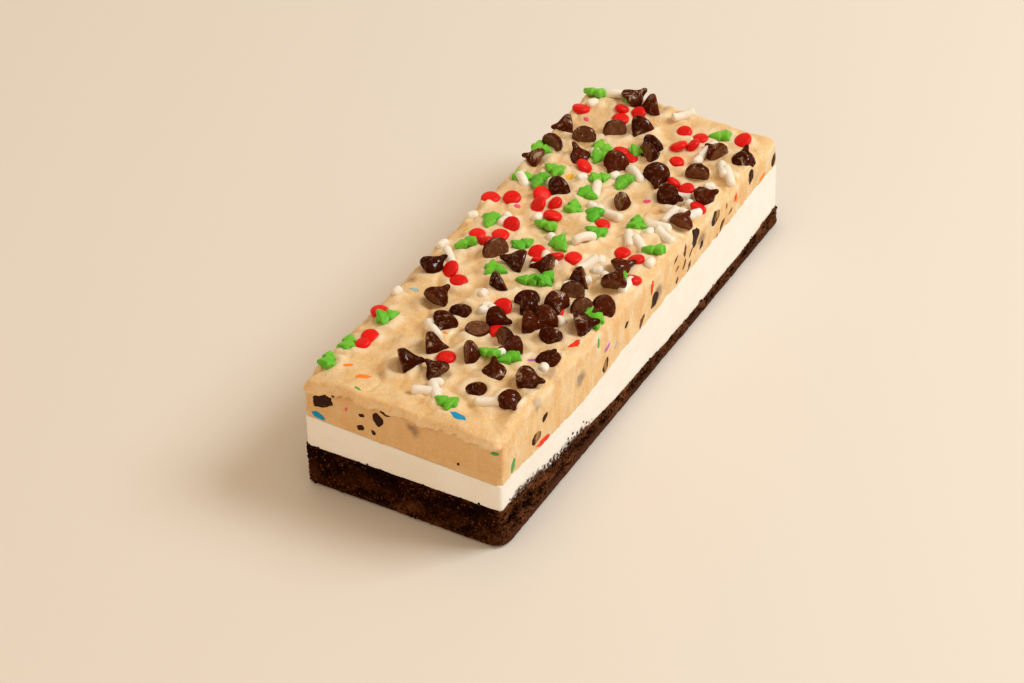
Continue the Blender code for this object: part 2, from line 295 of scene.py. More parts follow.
def baked_skin(x, y):
    """Thickness of the smooth baked skin under the crumb, which the knife drew up on the right side."""
    thick = BROWNIE_SKIN + (KNIFED_SKIN - BROWNIE_SKIN) * smooth(*ON_RIGHT, x / BAR_WIDTH)
    return min(thick, 0.36 * brownie_top(x, y)) * (1 + 0.25 * relief((x, y, 0), 5 * MM))


def hollow(point, top):
    """How deep a torn hollow is at a point, from 0 to 1. Hollows lie in a band above the baked skin."""
    band = smooth(*HOLLOW_FOOT, point.z / top) * (1 - smooth(*HOLLOW_TOP, point.z / top))
    drawn_out = Vector((point.x, 0.5 * point.y, point.z))
    torn = smooth(0.0, 0.25, relief(drawn_out, 2.0 * MM) + 0.45 * relief(point, 0.7 * MM))
    return band * torn * (1 - smooth(0.44, 0.48, point.y / BAR_LENGTH))


def brownie_place(u, v, share):
    """Point of the brownie's side, with its crumb and holes."""
    front_radii = BROWNIE_RIGHT_CORNERS if u > 0 else BROWNIE_LEFT_CORNERS
    low_radius, high_radius = BROWNIE_BACK_CORNERS if v > 0 else front_radii
    radius = low_radius + (high_radius - low_radius) * share
    x, y, way = in_corner(u, v, 0.0, radius)
    top = brownie_top(x, y)
    rightward = knifed(way)
    point = Vector((x, y, share * top))
    ragged = (0.15 + 0.45 * rightward) * relief(point, 3.5 * MM)
    ragged += (0.1 + 0.25 * rightward) * relief(point, 1.1 * MM)
    ragged *= 1 - smooth(0.88, 0.97, v)
    foot = min(BROWNIE_FOOT, 0.3 * top)
    inset, z = side_line(share, 0.0, top + ragged * MM, foot, BROWNIE_EDGE)
    x, y, way = in_corner(u, v, inset, radius)
    point = Vector((x, y, z))
    at_back = smooth(0.93, 0.99, v)
    crumb = lumpy(point, CRUMB_LUMPS)
    crumb *= 1 - 0.6 * at_back
    skin = baked_skin(x, y)
    pit = PIT_DEPTH * max(relief(point, PIT_SIZE) - 0.15, 0.0) * (1 - 0.7 * at_back)
    pit += HOLLOW_DEPTH * rightward * hollow(point, top)
    open_crumb = smooth(0.7 * skin, 1.1 * skin, z)
    depth = (0.25 - crumb + pit) * MM * (0.25 + 0.75 * open_crumb) * smooth(0.0, 0.3 * MM, z)
    return x - way.x * depth, y - way.y * depth, z


def on_object(tree, kind, **inputs):
    """Texture or mapping node on Object coordinates."""
    return node(tree, kind, {"Vector": node(tree, "ShaderNodeTexCoord").outputs["Object"], **inputs})


def ramp(tree, value, low, high, full=1.0):
    """Output that rises smoothly from 0 to full as the value goes from low to high."""
    return node(tree, "ShaderNodeMapRange", {
        "Value": value, "From Min": low, "From Max": high, "To Max": full,
    }, interpolation_type="SMOOTHSTEP").outputs["Result"]


def times(tree, first, second):
    """Output with the product of two values."""
    return node(tree, "ShaderNodeMath", {0: first, 1: second}, operation="MULTIPLY").outputs[0]


def share_of(tree, name):
    """Output with the share that the mesh stores under a name."""
    return node(tree, "ShaderNodeAttribute", attribute_name=name).outputs["Fac"]


def store_shares(mesh, names, shares_at):
    """Stores named shares in each vertex of a mesh, as a function of the vertex gives them."""
    for name in names:
        mesh.attributes.new(name, "FLOAT", "POINT")
    layers = [mesh.attributes[name].data for name in names]
    for vertex, *items in zip(mesh.vertices, *layers):
        for item, share in zip(items, shares_at(vertex)):
            item.value = share


def grain_group():
    """Shader group: height and mask of a fine grain over a coarser one, sized in metres."""
    tree = bpy.data.node_groups.new("grain", "ShaderNodeTree")
    tree.interface.new_socket("Vector", in_out="INPUT", socket_type="NodeSocketVector")
    for name, default in (("Coarse Size", 2.0 * MM), ("Fine Size", 0.5 * MM), ("Fine Share", 0.5)):
        socket = tree.interface.new_socket(name, in_out="INPUT", socket_type="NodeSocketFloat")
        socket.default_value = default
    for name in ("Height", "Mask"):
        tree.interface.new_socket(name, in_out="OUTPUT", socket_type="NodeSocketFloat")
    entry = node(tree, "NodeGroupInput")
    layers = []
    for size in ("Coarse Size", "Fine Size"):
        scale = node(tree, "ShaderNodeMath", {0: 1.0, 1: entry.outputs[size]}, operation="DIVIDE")
        layers.append(node(tree, "ShaderNodeTexNoise", {
            "Vector": entry.outputs["Vector"], "Scale": scale.outputs[0], "Detail": 2.0, "Roughness": 0.6,
        }))
    height = node(tree, "ShaderNodeMix", {
        "Factor": entry.outputs["Fine Share"], "A": layers[0].outputs["Fac"], "B": layers[1].outputs["Fac"],
    })
    mask = ramp(tree, height.outputs["Result"], 0.36, 0.64)
    node(tree, "NodeGroupOutput", {"Height": height.outputs["Result"], "Mask": mask})
    return tree


GRAIN = grain_group()


def grain(tree, coarse, fine, share):
    """The grain group in a material, on Object coordinates."""
    return node(tree, "ShaderNodeGroup", {
        "Vector": node(tree, "ShaderNodeTexCoord").outputs["Object"],
        "Coarse Size": coarse, "Fine Size": fine, "Fine Share": share,
    }, node_tree=GRAIN)


def two_colours(tree, mask, first, second):
    """Output that goes from the first colour to the second as the mask goes from 0 to 1."""
    mix = node(tree, "ShaderNodeMix", {0: mask}, data_type="RGBA")
    for socket, colour in ((mix.inputs[6], first), (mix.inputs[7], second)):
        if isinstance(colour, bpy.types.NodeSocket):
            tree.links.new(colour, socket)
        else:
            socket.default_value = colour
    return mix.outputs[2]


def bump(tree, shader, height, distance):
    """Bump node from a height to the shader's normal."""
    made = node(tree, "ShaderNodeBump", {"Height": height, "Distance": distance, "Strength": 1.0})
    tree.links.new(made.outputs["Normal"], shader.inputs["Normal"])


brownie_material, tree, shader = new_material("brownie crumb", Roughness=0.75, Specular_IOR_Level=0.0)
crumb_grain = grain(tree, 4.2 * MM, 0.6 * MM, 0.5)
flecks = on_object(tree, "ShaderNodeTexNoise", Scale=1500.0, Detail=3.0)
brown = two_colours(tree, share_of(tree, "smeared"), BROWNIE_BROWN, BROWNIE_SMEARED)
dark_to_brown = two_colours(tree, crumb_grain.outputs["Mask"], BROWNIE_DARK, brown)
crumbed = two_colours(tree, ramp(tree, flecks.outputs["Fac"], 0.56, 0.74), dark_to_brown, BROWNIE_CRUMB)
# Painted shade: the torn hollows on the right side are darkened to the darkest crumb colour, and patches high
# up on the other sides are darker too.
pit_shaded = two_colours(tree, share_of(tree, "pit_shade_and_dark_top"), crumbed, BROWNIE_DARK)
tree.links.new(two_colours(tree, share_of(tree, "baked"), pit_shaded, BROWNIE_BAKED), shader.inputs["Base Color"])
bump(tree, shader, crumb_grain.outputs["Height"], 0.5 * MM)


def brownie_shares(vertex):
    """How smeared and baked the brownie's side is at a vertex, and how dark it is painted as shade in its
    torn hollows. Off the right side, patches crumble low down and are darker high up."""
    x, y, z = vertex.co
    on_right = smooth(*ON_RIGHT, x / BAR_WIDTH)
    skin = baked_skin(x, y) * (1 + 0.15 * relief(vertex.co, 1.5 * MM))
    top = brownie_top(x, y)
    patch = smooth(-0.25, 0.45, relief(vertex.co, 6 * MM))
    crumbling = patch * (1 - smooth(0.15, 0.55, z / top))
    darker_high_up = (1 - patch) * smooth(0.25, 0.80, z / top)
    smeared = on_right * (0.7 + 0.7 * relief(vertex.co, 4 * MM)) + 0.55 * (1 - on_right) * crumbling
    # Painted shade in the torn hollows on the right side; on the other sides, patches high up are darker.
    pit_shade_and_dark_top = 0.95 * on_right * hollow(vertex.co, top) + 0.75 * (1 - on_right) * darker_high_up
    baked = (0.25 + 0.65 * on_right) * (1 - smooth(0.85 * skin, 1.05 * skin, z))
    return smeared, pit_shade_and_dark_top, baked


brownie = new_object("brownie", walled_block(BROWNIE_STEPS, brownie_place), brownie_material)
store_shares(brownie.data, ("smeared", "pit_shade_and_dark_top", "baked"), brownie_shares)
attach(brownie, "root")
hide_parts("brownie_base")


# Ice cream: a slab of frozen vanilla ice cream, cut clean with the brownie. Its lower edge sits down in the
# brownie and its top runs under the dough, so the frozen layers show no gap. It stands for ice_cream_layer.
ICE_CREAM_TOP_LEFT = ((0.0, 19.0), (132.5, 17.0))
ICE_CREAM_TOP_RIGHT = ((0.0, 17.8), (35.0, 15.2), (65.0, 16.4), (132.5, 18.0))
ICE_CREAM_INSET = 0.45 * MM
ICE_CREAM_CORNER = 0.9 * MM
ICE_CREAM_SUNK = 1.2 * MM
ICE_CREAM_STEPS = (90, 240, 26)
ICE_CREAM_WHITE = (0.91, 0.875, 0.81, 1)
ICE_CREAM_SHADE = (0.88, 0.83, 0.745, 1)
STAIN = (0.050, 0.0165, 0.0070, 1)


def ice_cream_top(x, y):
    return between(ICE_CREAM_TOP_LEFT, ICE_CREAM_TOP_RIGHT, x, y)


def ice_cream_place(u, v, share):
    """Point of the ice cream's side, nearly flat, with faint ripples from the knife."""
    x, y, _ = in_corner(u, v, ICE_CREAM_INSET, ICE_CREAM_CORNER)
    bottom, top = brownie_top(x, y) - ICE_CREAM_SUNK, ice_cream_top(x, y) + 0.10 * MM
    z = bottom + (top - bottom) * share
    tuck = 1.2 * MM * (1 - smooth(0.0, ICE_CREAM_SUNK, z - bottom))
    x, y, way = in_corner(u, v, ICE_CREAM_INSET + tuck, ICE_CREAM_CORNER)
    ripple = 0.10 * relief((x, y, z), 9 * MM) + 0.05 * relief((x, y, 4 * z), 5 * MM)
    ripple += 0.03 * relief((x, y, z), 1.2 * MM)
    depth = (0.08 - ripple) * MM
    return x - way.x * depth, y - way.y * depth, z


ice_cream_material, tree, shader = new_material(
    "ice cream", Roughness=0.45, Specular_IOR_Level=0.2, Subsurface_Weight=0.12,
    Subsurface_Radius=(1.0, 0.75, 0.5), Subsurface_Scale=1.0 * MM,
)
cream_grain = grain(tree, 7.0 * MM, 0.8 * MM, 0.35)
specks = on_object(tree, "ShaderNodeTexNoise", Scale=900.0, Detail=5.0, Roughness=0.7)
speck_shares = node(tree, "ShaderNodeMapRange", {
    "Value": specks.outputs["Fac"], "From Min": 0.36, "From Max": 0.66, "To Min": 0.35, "To Max": 1.6,
})
speckled = times(tree, share_of(tree, "stain"), speck_shares.outputs["Result"])
clean = two_colours(tree, cream_grain.outputs["Mask"], ICE_CREAM_WHITE, ICE_CREAM_SHADE)
tree.links.new(two_colours(tree, ramp(tree, speckled, 0.28, 0.62), clean, STAIN), shader.inputs["Base Color"])
bump(tree, shader, cream_grain.outputs["Height"], 0.12 * MM)
ice_cream = new_object("ice_cream", walled_block(ICE_CREAM_STEPS, ice_cream_place), ice_cream_material)


def smear_share(x, y, z):
    """How thickly the knife smeared brownie up the ice cream, from 0 to 1: most over the first stretch of the
    right side."""
    above = (z - brownie_top(x, y)) / MM
    along = (y + BAR_LENGTH / 2) / MM
    stretch = smooth(0.46, 0.49, x / BAR_WIDTH) * smooth(0, 9, along) * (1 - smooth(34, 44, along))
    reach = 0.5 + 3.0 * stretch * (1 + 0.6 * relief((x, y, 0), 6 * MM))
    return min(max(1 - above / reach, 0.0), 1.0) * (0.35 + 0.55 * stretch)


store_shares(ice_cream.data, ("stain",), lambda vertex: (smear_share(*vertex.co),))
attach(ice_cream, "root")
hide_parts("ice_cream_layer")


# Toppings: how chips and sugar pieces are strewn over the dough. Chips fall in loose rows and sugar pieces in
# spots, the largest kind first, each clear of those before it. The places are the solid's own.
# Chip rows: (distance away, first and last distance across, number). Spots: (distance across, distance away)
# for one piece, with (reach, number) after it for several. All in millimetres from the front left corner.
CHIP_ROWS = (
    (13.2, 19.0, 45.4, 4), (21.3, 19.0, 46.5, 4), (30.6, 20.0, 44.3, 5), (37.2, 13.0, 42.0, 5),
    (46.5, 4.6, 4.6, 1), (43.0, 31.2, 45.0, 3), (48.0, 23.2, 43.6, 4), (53.5, 39.3, 46.5, 2),
    (58.5, 16.4, 45.0, 5), (66.1, 41.4, 41.4, 1), (89.0, 15.4, 46.0, 3), (97.0, 3.6, 37.5, 2),
    (103.4, 4.4, 31.8, 4), (108.8, 10.0, 40.7, 3), (101.0, 46.0, 46.0, 1), (114.0, 3.6, 26.8, 3),
    (117.5, 41.5, 46.4, 1), (120.5, 19.6, 46.0, 2), (128.0, 11.4, 20.4, 2),
)
TREE_SPOTS = (
    (3.8, 7.4), (3.4, 15.0), (6.8, 25.4), (33.6, 6.8), (34.5, 26.8, 4.5, 2), (46.4, 46.5, 2.4, 2),
    (19.3, 52.1), (28.0, 55.7, 3.0, 2), (8.2, 58.6), (45.0, 63.9), (22.0, 68.3, 6.0, 3), (7.9, 68.9),
    (31.1, 76.1), (46.0, 76.4), (22.4, 84.2, 6.0, 3), (37.5, 84.6), (8.8, 91.3, 4.5, 3),
    (25.0, 96.0, 4.5, 2), (3.4, 101.4), (15.3, 105.0, 4.0, 2), (24.3, 110.7), (38.2, 125.4), (3.6, 127.1),
    (12.1, 129.0),
)
DISC_SPOTS = (
    (5.5, 17.0, 2.5, 2), (4.0, 28.0), (25.7, 20.0), (30.0, 37.5, 4.5, 2), (11.3, 46.0, 2.6, 2),
    (38.0, 45.0), (12.5, 64.5, 5.0, 4), (27.5, 64.5, 4.5, 4), (46.6, 64.0, 1.0, 1), (42.4, 73.0, 2.8, 2),
    (5.0, 78.5, 3.0, 2), (18.5, 82.5, 6.5, 4), (30.5, 80.0), (46.6, 97.0), (16.0, 99.0),
    (40.0, 102.5, 3.5, 2), (23.0, 108.0, 3.0, 2), (33.6, 110.7), (3.2, 121.0), (16.0, 121.5, 4.5, 3),
    (31.5, 121.0, 5.0, 4), (42.9, 126.0),
)
ROD_SPOTS = (
    (28.0, 7.9, 1.5, 2), (41.8, 11.0), (18.9, 25.4), (6.8, 53.2), (37.0, 58.0), (44.8, 60.5, 2.8, 2),
    (35.0, 65.0), (30.7, 72.9), (39.6, 77.9, 2.5, 2), (31.1, 85.0), (45.0, 85.8, 2.5, 2), (5.7, 87.9),
    (44.5, 91.8, 3.0, 3), (22.5, 91.8), (40.7, 99.3), (27.5, 101.4), (46.5, 113.0, 2.8, 2), (38.6, 117.9),
    (7.1, 128.6), (26.1, 128.2),
)
PEARL_SPOTS = (
    (28.0, 11.4), (17.1, 28.6), (35.0, 26.0), (46.0, 26.8), (3.2, 36.1), (25.7, 38.9, 2.0, 3), (21.4, 43.6),
    (40.7, 42.7), (45.0, 50.7), (3.0, 57.1), (27.2, 61.0, 3.0, 3), (37.5, 65.9, 2.5, 2),
    (11.2, 70.0, 3.0, 2), (3.2, 70.0), (23.6, 70.0), (17.1, 75.4), (47.0, 71.8), (41.8, 83.2),
    (25.7, 84.6, 1.5, 2), (17.9, 95.0), (24.3, 98.9), (45.0, 97.1), (15.4, 105.0), (45.0, 105.0),
    (37.9, 114.3), (4.6, 123.9),
)
CHIP_STRAY = 0.9
CHIP_ROOM = 2.8
TREE_ROOM = 2.4
DISC_ROOM = 1.9
ROD_ROOM = 1.3
PEARL_ROOM = 1.2
LONE_SPOT = (0.5, 1)
TREE_LEANS = (0, 32)
DISC_SIZES = (0.85, 1.1)
DISC_LEANS = (0, 45)
ROD_SIZES = (0.75, 1.0)
ROD_LEANS = (76, 100)
PEARL_SIZES = (0.85, 1.15)
PEARL_LEANS = (70, 105)
TRIES = 30
draw = random.Random(32)


def chip_places():
    """Places of the chips, which stray a little from their rows."""
    found = []
    for away, first, last, count in CHIP_ROWS:
        for number in range(count):
            across = first + (last - first) * number / max(count - 1, 1)
            found.append(Vector((across + draw.uniform(-CHIP_STRAY, CHIP_STRAY),
                                 away + draw.uniform(-CHIP_STRAY, CHIP_STRAY))))
    return found


def sprinkle_places(draw, spots, room, laid):
    """Places of one kind of sprinkle. Each is the freest of some random tries in its spot, and joins those
    laid."""
    found = []
    for across, away, *group in spots:
        reach, count = group or LONE_SPOT
        for _ in range(count):
            tries = []
            for _ in range(TRIES):
                way = reach * math.sqrt(draw.random())
                angle = draw.uniform(0, 2 * math.pi)
                place = Vector((across + way * math.cos(angle), away + way * math.sin(angle)))
                free = min((place - other).length - other_room for other, other_room in laid)
                tries.append((free, *place))
            found.append(Vector(max(tries)[1:]))
            laid.append((found[-1], room))
    return found


def posed(draw, places, pose):
    """Each place with its piece's size, bend, lean and turn."""
    return [(place, *pose(draw), draw.uniform(0, 2 * math.pi)) for place in places]


CHIP_SIZES = (0.88, 1.06)
CHIP_LEANS = (10, 50, 65, 75, 80, 85, 90, 95, 100, 105, 110, 180)
CHIP_LEAN_STRAY = 8
CHIP_BEND = 0.32


def chip_pose(draw):
    """Size, bend and lean of a chip."""
    size, bend = draw.uniform(*CHIP_SIZES), draw.uniform(0.0, CHIP_BEND)
    return size, bend, draw.choice(CHIP_LEANS) + draw.uniform(-CHIP_LEAN_STRAY, CHIP_LEAN_STRAY)


chip_spots = chip_places()
laid = [(place, CHIP_ROOM) for place in chip_spots]
chips = posed(draw, chip_spots, chip_pose)
trees = posed(draw, sprinkle_places(draw, TREE_SPOTS, TREE_ROOM, laid),
              lambda draw: (1.0, 0.0, draw.uniform(*TREE_LEANS)))
discs = posed(draw, sprinkle_places(draw, DISC_SPOTS, DISC_ROOM, laid),
              lambda draw: (draw.uniform(*DISC_SIZES), 0.0, draw.uniform(*DISC_LEANS)))
rods = posed(draw, sprinkle_places(draw, ROD_SPOTS, ROD_ROOM, laid),
             lambda draw: (draw.uniform(*ROD_SIZES), 0.0, draw.uniform(*ROD_LEANS)))
pearls = posed(draw, sprinkle_places(draw, PEARL_SPOTS, PEARL_ROOM, laid),
               lambda draw: (draw.uniform(*PEARL_SIZES), 0.0, draw.uniform(*PEARL_LEANS)))


# Cookie dough: a thick slab of soft raw dough, knife-cut at its sides. Its skin is lumpy on top, swells round
# whatever is pressed into it and hangs as a lip over the drawn-in front face. It stands for cookie_dough.
DOUGH_TOP = ((0.0, 30.4), (132.5, 25.4))
LEFT_SAG = 2.2 * MM
LEFT_SAG_WIDTH = 14.0 * MM
LUMP_HEIGHT = 0.9 * MM
LUMP_SIZE = 9.0 * MM
DOUGH_INSET = 0.35 * MM
DOUGH_FOOT = 0.12 * MM
DOUGH_EDGE = 2.3 * MM
FRONT_ROUNDNESS = 0.5
DOUGH_CORNERS = (1.2 * MM, 2.4 * MM)
DOUGH_STEPS = (132, 264, 46)
KNIFE_SLANT = math.radians(-18)
FOLDS = ((0.01, 0.44, 4.4), (0.02, 0.14, 1.7))
CREASE_DEPTH = 0.45
CREASE_SIZE = 8 * MM
CREASE_PULL = 3 * MM
CREASE_PULL_SIZE = 7 * MM
LIP_WAVES = ((0, 1.3, 5), (0.03, 0.6, 1.6))
SIDE_LUMPS = (0.24, 3.6 * MM)
CRUMBLY_LUMPS = (0.09, 1.4 * MM)
SWELL_HEIGHT = 0.85 * MM
SWELL_REACH = 1.4
SWELL_SEARCH = 5.0
LIP_DROP = 2.7 * MM
LIP_DEPTH = 0.95 * MM
LIP_OVERHANG = 0.60 * MM
LIP_CREASE = 0.75 * MM
DOUGH_LIGHT = (0.83, 0.59, 0.305, 1)
DOUGH_DEEP = (0.77, 0.480, 0.195, 1)
# Paler skin of the crests, with a painted highlight there; also the pale streaks that the knife left on the
# sides.
DOUGH_PALE = (0.92, 0.77, 0.55, 1)
# Pale sugar grains, partly painted glints of their crystals.
DOUGH_SUGAR_GLINT = (0.93, 0.82, 0.64, 1)
DOUGH_MARK = (0.78, 0.41, 0.135, 1)
# Painted shade on the front face under the lip.
DOUGH_LIP_SHADE = (0.64, 0.36, 0.135, 1)
DOUGH_OVER_CHIP = (0.145, 0.066, 0.052, 1)
# Chips under the skin: distance across and away, and depth below the top, in millimetres.
SUNKEN_CHIPS = (
    (13, 21, 2.0), (16, 9, 2.0), (48, 17, 2.0), (47, 12, 2.0), (47, 26, 1.5), (15, 32, 2.0), (4, 42, 2.0),
    (3, 25, 2.0), (28, 0.5, 5.5), (24, 74, 2.0), (13, 88, 2.0), (34, 99, 2.0), (8, 110, 2.0), (20, 116, 2.0),
    (49, 72, 7.0), (49, 93, 5.0), (49, 36, 7.5), (1, 84, 6.0), (1, 52, 7.0), (1, 118, 5.0), (12, 131.5, 5.0),
    (33, 131.5, 4.0), (43, 131.5, 6.0),
)

laid_tree = kdtree.KDTree(len(laid))
for number, (place, room) in enumerate(laid):
    laid_tree.insert((place.x, place.y, 0), number)
laid_tree.balance()


def dough_top(x, y):
    """Lumpy top of the dough, lower along the left side towards the front."""
    from_left = min((x + BAR_WIDTH / 2) / LEFT_SAG_WIDTH, 1.0)
    to_front = 0.5 - y / BAR_LENGTH
    sag = LEFT_SAG * to_front * (1 - from_left) ** 2
    lump = LUMP_HEIGHT * noise.noise(Vector((x, y, 0)) / LUMP_SIZE)
    return eased(DOUGH_TOP, y) - sag + lump


def wavy(x, y, waves):
    """Random height over the ground plan, from waves given as (level, height, size in millimetres)."""
    return sum(height * relief((x, y, level), size * MM) for level, height, size in waves)


def dough_skin(x, y):
    """Top of the dough with its folds and its swelling round the toppings."""
    swell = 0.0
    here = Vector(((x + BAR_WIDTH / 2) / MM, (y + BAR_LENGTH / 2) / MM, 0))
    for _, number, distance in laid_tree.find_range(here, SWELL_SEARCH):
        swell = max(swell, math.exp(-((distance - laid[number][1] - 0.3) / SWELL_REACH) ** 2))
    fold = wavy(x, y, FOLDS)
    pull_x = CREASE_PULL * relief((x, y, 0.03), CREASE_PULL_SIZE)
    pull_y = CREASE_PULL * relief((x, y, 0.04), CREASE_PULL_SIZE)
    crease = -CREASE_DEPTH * max(1 - 4.5 * abs(relief((x + pull_x, y + pull_y, 0.05), CREASE_SIZE)), 0.0) ** 2
    swell *= 0.75 + 0.7 * relief((x, y, 0.08), 3.5 * MM)
    return dough_top(x, y) + SWELL_HEIGHT * swell + (fold + crease) * MM


def dough_place(u, v, share):
    """Point of the dough: its side with the lip and knife marks, or its top."""
    radius = DOUGH_CORNERS[0] + (DOUGH_CORNERS[1] - DOUGH_CORNERS[0]) * share
    x, y, way = in_corner(u, v, DOUGH_INSET, radius)
    bottom, top = ice_cream_top(x, y) - 0.1 * MM, dough_top(x, y)
    at_front = smooth(0.2, 0.8, -way.y)
    roundness = 1 - (1 - FRONT_ROUNDNESS) * at_front
    inset, z = side_line(share, bottom, top, DOUGH_FOOT, DOUGH_EDGE, roundness)
    x, y, way = in_corner(u, v, DOUGH_INSET + inset, radius)
    towards_top = smooth(top - DOUGH_EDGE, top - 0.3 * DOUGH_EDGE, z)
    z += (dough_skin(x, y) - top) * towards_top
    if not way.length:
        return x, y, z
    lip_line = top - LIP_DROP + wavy(x, y, LIP_WAVES) * MM
    below_lip = (1 - smooth(lip_line - 0.30 * MM, lip_line + 0.15 * MM, z)) * at_front
    below_lip *= 0.25 + 0.75 * smooth(0.3 * MM, 3.5 * MM, z - bottom)
    on_lip = at_front * smooth(lip_line - 0.15 * MM, lip_line + 0.35 * MM, z) * (1 - towards_top)
    drag = 0.12 * relief((3 * x, 3 * y, 0.25 * z), 2.2 * MM) + 0.12 * relief((x, y, z), 4 * MM)
    crumbly = 1 + 1.6 * smooth(-10 * MM, -BAR_WIDTH / 2, x)
    lumps = SIDE_LUMPS[0] * relief((x, y, z), SIDE_LUMPS[1])
    lumps += CRUMBLY_LUMPS[0] * crumbly * relief((x, y, z), CRUMBLY_LUMPS[1])
    lumps *= (1 - 0.9 * below_lip) * (1 - 0.4 * smooth(0.5, 0.9, way.x))
    crease = at_front * math.exp(-((z - lip_line + 0.35 * MM) / (0.45 * MM)) ** 2)
    crease *= smooth(-0.35, 0.15, relief((x, y, 0.09), 9 * MM) + 0.5 * smooth(0, 15 * MM, x))
    depth = LIP_DEPTH * below_lip - LIP_OVERHANG * on_lip + LIP_CREASE * crease + (0.10 - drag - lumps) * MM
    return x - way.x * depth, y - way.y * depth, z


def topped_block(steps, place):
    """A walled block whose top is a grid as fine as its sides."""
    across, along, up = steps
    mesh = walled_block(steps, place)
    mesh.faces.ensure_lookup_table()
    rim = list(mesh.faces[-1].verts)
    bmesh.ops.delete(mesh, geom=[mesh.faces[-1]], context="FACES_ONLY")
    corners = [(i, 0) for i in range(across)] + [(across, j) for j in range(along)]
    corners += [(across - i, along - j) for i, j in corners]
    grid = dict(zip(corners, rim))
    for i in range(1, across):
        for j in range(1, along):
            grid[i, j] = mesh.verts.new(place(2 * i / across - 1, 2 * j / along - 1, 1.0))
    for i in range(across):
        for j in range(along):
            face = mesh.faces.new((grid[i, j], grid[i + 1, j], grid[i + 1, j + 1], grid[i, j + 1]))
            face.smooth = True
    return mesh


dough_material, tree, shader = new_material(
    "cookie dough", Roughness=0.48, Specular_IOR_Level=0.35, Subsurface_Weight=0.25,
    Subsurface_Radius=(1.0, 0.6, 0.3), Subsurface_Scale=1.2 * MM, Coat_Roughness=0.16,
)
dough_grain = grain(tree, 5.0 * MM, 0.55 * MM, 0.45)
sugar = on_object(tree, "ShaderNodeTexVoronoi", Scale=1300.0)
drawn_out = on_object(tree, "ShaderNodeMapping", Rotation=(KNIFE_SLANT, 0, 0), Scale=(1.0, 1.0, 0.22))
knife_marks = node(tree, "ShaderNodeTexNoise", {
    "Vector": drawn_out.outputs["Vector"], "Scale": 330.0, "Detail": 4.0, "Roughness": 0.6, "Distortion": 0.6,
})
mellow_tone = two_colours(tree, dough_grain.outputs["Mask"], DOUGH_DEEP, DOUGH_LIGHT)
# Crests above the mean top and the upper rim of the sides get a paler colour: partly paler skin, partly
# painted highlight.
dough_tone = two_colours(tree, share_of(tree, "pale_crest_and_highlight"), mellow_tone, DOUGH_PALE)
for low, high, strength, colour in ((0.50, 0.66, 0.70, DOUGH_MARK), (0.45, 0.33, 0.50, DOUGH_PALE)):
    marks = times(tree, ramp(tree, knife_marks.outputs["Fac"], low, high, strength), share_of(tree, "side"))
    dough_tone = two_colours(tree, marks, dough_tone, colour)
# Pale sugar grains in the dough, partly painted glints of the crystals.
sugar_glint_share = times(tree, ramp(tree, sugar.outputs["Distance"], 0.30, 0.12), 0.45)
sugar_glinted = two_colours(tree, sugar_glint_share, dough_tone, DOUGH_SUGAR_GLINT)
# Painted shade: the front face under the lip is darkened.
lip_shade = two_colours(tree, share_of(tree, "lip_shade"), sugar_glinted, DOUGH_LIP_SHADE)
over_chips = two_colours(tree, share_of(tree, "sunken"), lip_shade, DOUGH_OVER_CHIP)
tree.links.new(over_chips, shader.inputs["Base Color"])
tree.links.new(ramp(tree, dough_grain.outputs["Height"], 0.50, 0.62, 0.7), shader.inputs["Coat Weight"])
bump(tree, shader, dough_grain.outputs["Height"], 0.36 * MM)
sunken_tree = kdtree.KDTree(len(SUNKEN_CHIPS))
for number, (across, away, down) in enumerate(SUNKEN_CHIPS):
    x, y = across * MM - BAR_WIDTH / 2, away * MM - BAR_LENGTH / 2
    sunken_tree.insert((x, y, dough_top(x, y) - down * MM), number)
sunken_tree.balance()


def dough_shares(vertex):
    """How far the dough faces sideways, has paler skin and a painted highlight on its crests and upper rim,
    is painted with shade under the lip and covers a chip at a vertex.
    """
    x, y, z = vertex.co
    below = (dough_top(x, y) - z) / MM
    sideways = 1 - smooth(0.2, 0.7, vertex.normal.z)
    side = sideways * (0.30 + 0.70 * smooth(0.5, 0.9, vertex.normal.x))
    # Paler skin with a painted highlight along the upper rim of the sides, and on crests above the mean top.
    rim = math.exp(-((below - 1.2) / 1.0) ** 2) * sideways * smooth(-0.5, 0.4, relief((x, y, 0.07), 5 * MM))
    pale_crest_and_highlight = max(0.75 * smooth(-0.1, 0.8, -below), 0.9 * rim) * (0.75 + 0.6 * relief((x, y, 0.06), 3 * MM))
    lip_share = smooth(-0.4, 0.6, below - LIP_DROP / MM + relief((x, y, 0), 5 * MM))
    # Painted shade on the front face under the lip.
    lip_shade = 0.42 * lip_share * smooth(0.3, 0.8, -vertex.normal.y)
    _, _, distance = sunken_tree.find(vertex.co)
    wavering = distance + 0.9 * MM * relief(vertex.co, 1.9 * MM) + 0.5 * MM * relief(vertex.co, 0.6 * MM)
    sunken = 0.72 * (1 - smooth(0.6 * MM, 2.7 * MM, wavering))
    return side, pale_crest_and_highlight, lip_shade, sunken


dough = new_object("dough", topped_block(DOUGH_STEPS, dough_place), dough_material)
store_shares(dough.data, ("side", "pale_crest_and_highlight", "lip_shade", "sunken"), dough_shares)
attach(dough, "root")
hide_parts("cookie_dough")


